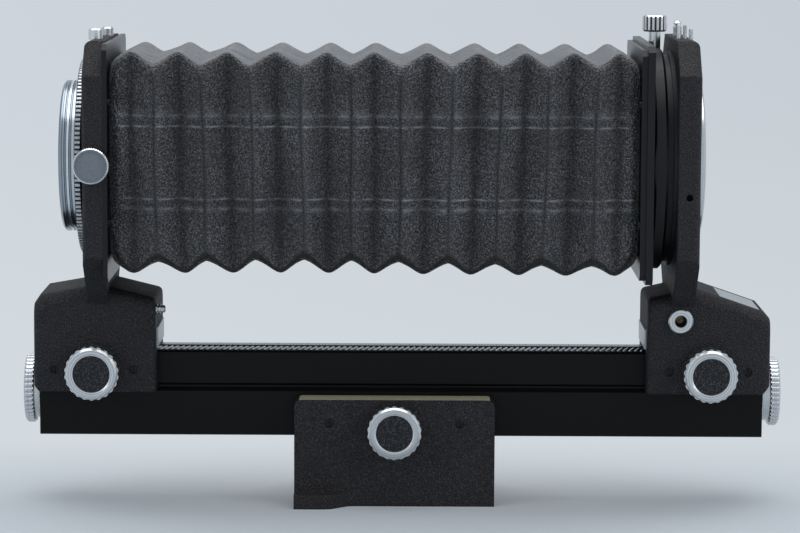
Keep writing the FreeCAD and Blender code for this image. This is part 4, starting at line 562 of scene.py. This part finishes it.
# How far each fold strays from an even spacing.
STRAYS_MM = (0, -0.3, -0.4, 0.1, -0.3, 0.2, -0.2, 0.3, 0.2, 0.5, 0.3, 0,
             0.6, 0.9, 1.1, 1.2, 1.0, 1.0, 0.7, 0.9, 0.8, 0.5, 0)
PLEATS = len(STRAYS_MM) - 1
FOLDS = [START + (END - START) * i / PLEATS + stray * MM for i, stray in enumerate(STRAYS_MM)]
# Distances from the axis: outward folds, inward folds of the sides and of top and bottom, windows.
OUT, SIDE_IN, TOP_IN, FRAME = 36.9 * MM, 31.6 * MM, 33.0 * MM, 29.6 * MM
PANEL = 8 * MM       # width of one pleat's panel, from crest to valley
HALF = 33 * MM       # half the length of a panel, from the middle to where its corner starts
LEAN, DRIFT = 1.1 * MM, 0.22 * MM      # how far a fold's ends slant at most, and how far it wavers
BULGE, GROOVE = 0.3 * MM, 0.6 * MM     # how far a panel swells, and how deep a crest's groove is
RIDGE = 0.14 * MM                      # how far a stiffener's edge lifts the skin
# Edges of the stiffeners on a side: height from the axis in mm, how worn, half width in mm.
LINES_MM = ((12.4, 1.0, 0.26), (15.9, 0.5, 0.5), (-11.6, 1.0, 0.26), (-14.9, 0.55, 0.5))
print("mean pleat in mm:", round((END - START) / PLEATS / MM, 2))


# %% One wave from pleat to pleat
def wave(count, out, back):
    """1 at even counts, -1 at odd ones. The nearer out or back is to 1, the sharper that turn is."""
    swing = math.cos(math.pi * count)
    sharp = back + (out - back) * (swing + 1) / 2
    return math.asin(sharp * swing) / math.asin(sharp)


def reach(low, high, level, count, slow):
    """Distance from the tube's axis: between low and high, and less near a frame. The nearer
    slow is to 0, the closer to the frame the skin turns in."""
    free = min(count, PLEATS - count, 1.0)
    full = low + (high - low) * (level + 1) / 2
    return FRAME + (full - FRAME) * math.sin(math.pi / 2 * free) ** slow


def dent(distance, width):
    """A soft bump of height one and the given half width."""
    return math.exp(-(distance / width) ** 2)


print("a quarter pleat from a crest:", round(wave(0.25, 0.99, 0.93), 2))


# %% Places along one panel
PARTS = 12


def stops(lined):
    """Places along a panel from -1 to 1, crowded at the stiffeners' edges on a side panel."""
    places = {i / PARTS for i in range(-PARTS, PARTS + 1)}
    for line, _, _ in LINES_MM if lined else ():
        edge = line * MM / HALF
        places = {place for place in places if abs(place - edge) > 0.03}
        places |= {edge + offset * MM / HALF for offset in (-0.55, -0.25, 0, 0.25, 0.55)}
    return sorted(places)


print("places on a side panel:", len(stops(True)), "on top:", len(stops(False)))

# %% [markdown]
# One ring of skin goes round the tube at a pleat count: four panels and four rounded corners.
# Every point also gets three marks for the leather's material: creased along the crests with
# painted shade in the valleys and the lower corners, worn where the stiffeners' edges press
# through, and painted pale on the top, part dust and part painted light, and a little beside the
# crests of both sides as painted light. Each panel swells a little and each fold leans and wavers.
# The inward folds of the top and bottom are shallower in the middle than at the corners. So no
# pleat is like the next.

# %% How far out the skin stands
def levels(count, along, swing, end):
    """Distances from the tube's axis to its sides, its top and its bottom."""
    wide = reach(SIDE_IN, OUT, wave(count, 0.996, 0.95), count, 0.8)
    shoulder = 0.55 * dent(min(count, PLEATS - count) - 1, 1.2)
    level = -wave(count, 0.995, 0.8 - shoulder)
    top = reach(TOP_IN, OUT, level + (1 - level) * (1 - end), count, 0.4)
    # The bottom isn't straight: it bows up left of the middle and down towards the lens.
    rise = 1.2 * MM * dent(along + 0.3, 0.45) - 0.6 * MM * dent(along - 0.8, 0.25)
    return wide, top, top - rise * (0.35 + 0.65 * swing) * end


def scuffs(u, way, x, pleat):
    """How worn a side is along the stiffeners' edges, and how far these lift it. Way is 1 on the
    near side, where u runs upwards, and -1 on the far side, where it runs downwards."""
    worn, ridge = 0.0, 0.0
    for line, strength, width in LINES_MM:
        gap = u - line * MM * way
        broken = 0.5 + 0.5 * math.sin(u * 90 + x * 900 + pleat)
        worn += strength * dent(gap, width * MM) * (0.25 + 0.85 * broken)
        ridge += RIDGE * strength * dent(gap, 1.6 * width * MM)
    return worn, ridge


print("levels at a crest in mm:", [round(level / MM, 1) for level in levels(4, 0, 1, 1)])

# %% A rounded corner
CORNER_STEPS = 6
TOP_DUST_AND_LIGHT = 0.75


def corner(panel, after, level, radius):
    """Points round the corner that follows a panel, with their crease and painted shade, wear, and dust and
    painted light.
    """
    found = []
    for step in range(1, CORNER_STEPS):
        turn = math.pi / 2 * step / CORNER_STEPS
        u = after - radius + radius * math.sin(turn)
        # The lower corners get painted shade.
        crease = min(1.0, step / 2, CORNER_STEPS - step) if panel > 1 else 0.0
        # The top's corners fade out its dust and painted light.
        fading = step / 3 - 1 if panel == 0 else 1 - step / CORNER_STEPS
        dust_and_light = TOP_DUST_AND_LIGHT * max(0.0, fading) * (panel < 2)
        found.append((u, level - radius + radius * math.cos(turn), panel, crease, 0.0, dust_and_light))
    return found


print("points round a corner:", len(corner(0, OUT, OUT, 2 * MM)))

# %% Panels turned into place
chance = random.Random(4)
SWELLS = [chance.uniform(0.2, 1.4) for _ in range(PLEATS + 1)]


def turned_into_place(found, count, x, along, pleat, part, end):
    """Turns each panel's points round the axis, leans the crest and lets it drift."""
    mood = SWELLS[pleat] * (1 - part) + SWELLS[pleat + 1] * part
    lean = LEAN * 2.6 * along * (1 - along ** 2)
    points = []
    for u, v, panel, crease, worn, dust_and_light in found:
        y, z = ((-v, u), (u, v), (v, -u), (-u, -v))[panel]
        drift = DRIFT * math.sin(z * 110 + 2.3 * mood + 1.7 * count) * end
        points.append((Vector((x + lean * z / OUT + drift, y, CENTRE_Z + z)), crease, worn, dust_and_light))
    return points


print("swells from", round(min(SWELLS), 2), "to", round(max(SWELLS), 2))

# %% One ring of skin
def ring(count):
    """Points with crease and painted shade, wear, and dust and painted light, round the tube: near side,
    top, far side, bottom.
    """
    pleat = min(int(count), PLEATS - 1)
    part = count - pleat
    x = FOLDS[pleat] * (1 - part) + FOLDS[pleat + 1] * part
    along = (x - MIDDLE) / (END - MIDDLE)
    # How far this ring is, along a panel, from the sides' nearest outward and inward fold.
    crest = abs(count - 2 * round(count / 2)) * PANEL
    valley = abs(count - 1 - 2 * round((count - 1) / 2)) * PANEL
    # Within a pleat of a frame, end falls from 1 to 0 and takes most of the unevenness with it.
    to_frame = min(count, PLEATS - count)
    end = min(1.0, to_frame)
    near_frame = max(0.0, min(1.0, 3 * (1.3 - to_frame)))
    swing = (math.cos(math.pi * count) + 1) / 2
    wide, top, below = levels(count, along, swing, end)
    radius = (1.7 + 2.1 * swing + 4 * (1 - end)) * MM
    # Painted light: beside each crest of the sides the skin is painted paler, more just after the crest
    # than before it, as light from the right.
    painted_light_beside_crest = (0.10 if round(count / 2) * 2 < count else 0.05) * dent(crest - 0.8 * MM, 2.2 * MM) * end
    bulge = BULGE * math.sin(math.pi * part) ** 2 * SWELLS[pleat] * end
    found = []
    for panel in range(4):
        side = panel % 2 == 0
        level = (wide, top, wide, below)[panel]
        before, after = ((below, top), (wide, wide), (top, below), (wide, wide))[panel]
        for place in stops(side):
            run = (after if place > 0 else before) - radius
            u = place * (HALF + (run - HALF) * abs(place) ** 3)
            worn = 0.0
            if side:
                worn, ridge = scuffs(u, 1 if panel == 0 else -1, x, pleat)
                groove = GROOVE * dent(crest, 0.4 * MM) * (1 - place ** 8)
                # Crest lines, and painted shade along the valleys.
                crease = max(0.8 * dent(crest, 0.7 * MM), 0.6 * dent(valley, 1.3 * MM))
                soft = bulge * (1 - place ** 4)
                v = level - groove + (ridge + soft) * (1 - dent(crest, 1.5 * MM))
                # Dents for the heads of the frames' screws.
                pinch = dent(abs(u) - 20 * MM, 3.2 * MM) * near_frame
                v -= max(0.0, v - 31 * MM) * pinch
            else:
                drawn = 0.7 + 1.1 * dent(along + 0.85, 0.4) * (panel == 1)
                shallower = drawn * MM * swing * (1 - place ** 2) * end
                crease = 0.5 * dent(crest, 0.4 * MM)
                v = level + shallower + bulge * (1 - place ** 2) * 0.5 * (level < OUT - MM)
            worn = min(1.0, worn) * end * (1 - dent(crest, 0.5 * MM))
            # The top is painted pale, part dust and part painted light on a face that looks up.
            dust_and_light = TOP_DUST_AND_LIGHT if panel == 1 else painted_light_beside_crest * (0.85 + 0.25 * u / OUT) * side
            found.append((u, v, panel, crease * end, worn, dust_and_light))
        found += corner(panel, after, level, radius)
    return turned_into_place(found, count, x, along, pleat, part, end)


print("points in one ring:", len(ring(3.5)))

# %% [markdown]
# The rings are sewn into two tubes that meet at the middle crest, a rear one and a front one,
# both tied to the rail.

# %% Sew both halves
ROWS_PER_PLEAT = 16


def sew(name, first, last):
    """Builds one half of the bellows between two pleats and ties it to the rail."""
    counts = [pleat + (1 - math.cos(math.pi * row / ROWS_PER_PLEAT)) / 2
              for pleat in range(first, last) for row in range(ROWS_PER_PLEAT)] + [last]
    # A hair's breadth beyond the middle, so that both halves are shaded alike where they meet.
    counts = counts + [last + 0.01] if first == 0 else [first - 0.01] + counts
    rings = [ring(count) for count in counts]
    size = len(rings[0])
    faces = [(row * size + i, (row + 1) * size + i, (row + 1) * size + (i + 1) % size,
              row * size + (i + 1) % size) for row in range(len(rings) - 1) for i in range(size)]
    mesh = bpy.data.meshes.new(name)
    mesh.from_pydata([point[0] for one in rings for point in one], [], faces)
    for index, label in enumerate(("crease", "worn", "dusty"), 1):
        marks = mesh.attributes.new(label, "FLOAT", "POINT")
        marks.data.foreach_set("value", [point[index] for one in rings for point in one])
    mesh.shade_smooth()
    mesh.materials.append(MATERIALS["pebbled_goatskin"])
    half = bpy.data.objects.new(name, mesh)
    bpy.context.collection.objects.link(half)
    skin = half.modifiers.new("skin", "SOLIDIFY")
    skin.thickness = 0.7 * MM
    skin.offset = -1.0
    skin.use_rim = False
    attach(half, "rail")
    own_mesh(half)
    return half


rear_half = sew("leather_bellows_rear", 0, PLEATS // 2)
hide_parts("bellows_rear")
front_half = sew("leather_bellows_front", PLEATS // 2, PLEATS)
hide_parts("bellows_front")

# %% [markdown]
# ## Studio
# The unit stands on a pale table top that sweeps up behind it without a corner. A big soft light
# hangs overhead, a weaker one fills from each side, and the air lights weakly from all round.
# To the camera and in reflections, the sweep behind the unit and further off shines by itself, and
# the air looks as pale, so the unit stands before a pale wall on every side.

# %% Table and sweep
FRONT_EDGE, FLAT_TO, BEND_RADIUS, HALF_WIDTH, TOP = -2.4, 1.4, 1.2, 3.0, 2.4


def sweep_point(run):
    """Depth and height of the sweep: flat at first, then a quarter circle upwards."""
    if run < FLAT_TO:
        return run, 0.0
    turn = min(1.0, (run - FLAT_TO) / BEND_RADIUS) * math.pi / 2
    return FLAT_TO + BEND_RADIUS * math.sin(turn), BEND_RADIUS * (1 - math.cos(turn))


profile = [sweep_point(FRONT_EDGE + 0.1 * step) for step in range(51)] + [(FLAT_TO + BEND_RADIUS, TOP)]
verts = [(x, y, z) for x in (-HALF_WIDTH, HALF_WIDTH) for y, z in profile]
size = len(profile)
faces = [(i, i + size, i + size + 1, i + 1) for i in range(size - 1)]
mesh = bpy.data.meshes.new("table_sweep")
mesh.from_pydata(verts, [], faces)
mesh.shade_smooth()
sweep = bpy.data.objects.new("table_sweep", mesh)
bpy.context.collection.objects.link(sweep)
print("sweep faces:", len(mesh.polygons))


# %% Pale paper that shines where only the camera sees it
def seen_directly(tree):
    """1 for rays from the camera and for those that a shiny surface or glass sends on, else 0."""
    path = add(tree, "LightPath")
    seen = add(tree, "Math", {"operation": "MAXIMUM"},
               {0: path.outputs["Is Camera Ray"], 1: path.outputs["Is Glossy Ray"]})
    through = add(tree, "Math", {"operation": "MAXIMUM"},
                  {0: seen.outputs[0], 1: path.outputs["Is Transmission Ray"]})
    return through.outputs[0]


tree, shader, where = start("pale_paper", "#c4cbd2", 0.0, 0.8)
place = add(tree, "SeparateXYZ", wires={"Vector": where})
behind = add(tree, "MapRange", {"From Min": -0.03, "From Max": 0.11, "To Min": 0.04, "To Max": 1.0},
             {"Value": place.outputs["Y"]})
away = add(tree, "VectorMath", {"operation": "LENGTH"}, {0: where})
around = add(tree, "MapRange", {"From Min": 0.35, "From Max": 0.8}, {"Value": away.outputs["Value"]})
far = add(tree, "Math", {"operation": "MAXIMUM"},
          {0: behind.outputs["Result"], 1: around.outputs["Result"]})
share = add(tree, "Math", {"operation": "MULTIPLY"}, {0: far.outputs[0], 1: seen_directly(tree)})
depth = add(tree, "MapRange", {"From Min": 0.0, "From Max": 2.5}, {"Value": place.outputs["Y"]})
tone = add(tree, "ValToRGB",
           {"stops": [(0.06, "#d2d9df"), (0.28, "#cfd6dc"), (0.6, "#ccd3da"), (0.98, "#c8cfd7")]},
           {"Fac": depth.outputs["Result"]})
fade = add(tree, "MapRange", {"From Min": -0.4, "From Max": 0.4, "To Min": 1.03, "To Max": 0.95},
           {"Value": place.outputs["X"]})
glow = add(tree, "Emission", wires={"Color": tone.outputs["Color"], "Strength": fade.outputs["Result"]})
both = add(tree, "MixShader", wires={0: share.outputs[0], 1: shader.outputs[0], 2: glow.outputs[0]})
wire(tree, both.outputs[0], tree.nodes["Material Output"], "Surface")
mesh.materials.append(MATERIALS["pale_paper"])
print("the paper's tones:", [round(linear(tint)[0], 2) for tint in ("#c8cfd7", "#d2d9df")])

# %% Soft lights
def softbox(name, spot, target, width, depth, watts, tint):
    """A rectangular area light at one point, aimed at another."""
    lamp = bpy.data.lights.new(name, "AREA")
    lamp.shape = "RECTANGLE"
    lamp.size, lamp.size_y = width, depth
    lamp.energy = watts
    lamp.color = linear(tint)[:3]
    holder = bpy.data.objects.new(name, lamp)
    bpy.context.collection.objects.link(holder)
    aim = Vector(target) - Vector(spot)
    holder.location = spot
    holder.rotation_euler = aim.to_track_quat("-Z", "Y").to_euler()
    print(name, watts, "W")


softbox("overhead_softbox", (0.0, 0.05, 1.0), (0, 0, 0.1), 1.4, 1.0, 9.0, "#fdfeff")
softbox("left_softbox", (-1.1, -0.9, 0.7), (0, 0, 0.1), 0.8, 0.8, 3.5, "#ffffff")
softbox("right_softbox", (1.2, -0.8, 0.6), (0, 0, 0.1), 0.8, 0.8, 5.1, "#ffffff")

# %% Air that lights a little and looks pale
AIR_STRENGTH = 0.42
world = bpy.data.worlds.new("studio_air")
bpy.context.scene.world = world
world.use_nodes = True
tree = world.node_tree
air = tree.nodes["Background"]
air.inputs["Color"].default_value = linear("#e6ecf2")
air.inputs["Strength"].default_value = AIR_STRENGTH
wall = add(tree, "Background", {"Color": "#c8cfd7"})
both = add(tree, "MixShader", wires={0: seen_directly(tree), 1: air.outputs[0], 2: wall.outputs[0]})
wire(tree, both.outputs[0], tree.nodes["World Output"], "Surface")
print("the air lights at", AIR_STRENGTH, "and shows as a pale wall")

# %% [markdown]
# ## Camera
# A long lens a metre away, seven degrees above the horizon, looks square at the near side, so
# the top of the bellows and the rack show as narrow bands.

# %% Camera
SPOT = Vector((0.001616, -1.06975, 0.21082))
TILT, ROLL = math.radians(7.0), math.radians(0.27)
forward = Vector((0, math.cos(TILT), -math.sin(TILT)))
right = Vector((math.cos(ROLL), math.sin(TILT) * math.sin(ROLL), math.cos(TILT) * math.sin(ROLL)))
upright = right.cross(forward)
lens = bpy.data.cameras.new("long_lens")
lens.lens = 141.75
lens.sensor_width = 36.0
lens.clip_start = 0.05
camera = bpy.data.objects.new("long_lens", lens)
bpy.context.collection.objects.link(camera)
turn = Matrix((right, upright, -forward)).transposed().to_4x4()
camera.matrix_world = Matrix.Translation(SPOT) @ turn
bpy.context.scene.camera = camera
bpy.context.scene.view_settings.view_transform = "Standard"
print("camera at", [round(v, 3) for v in camera.matrix_world.translation])
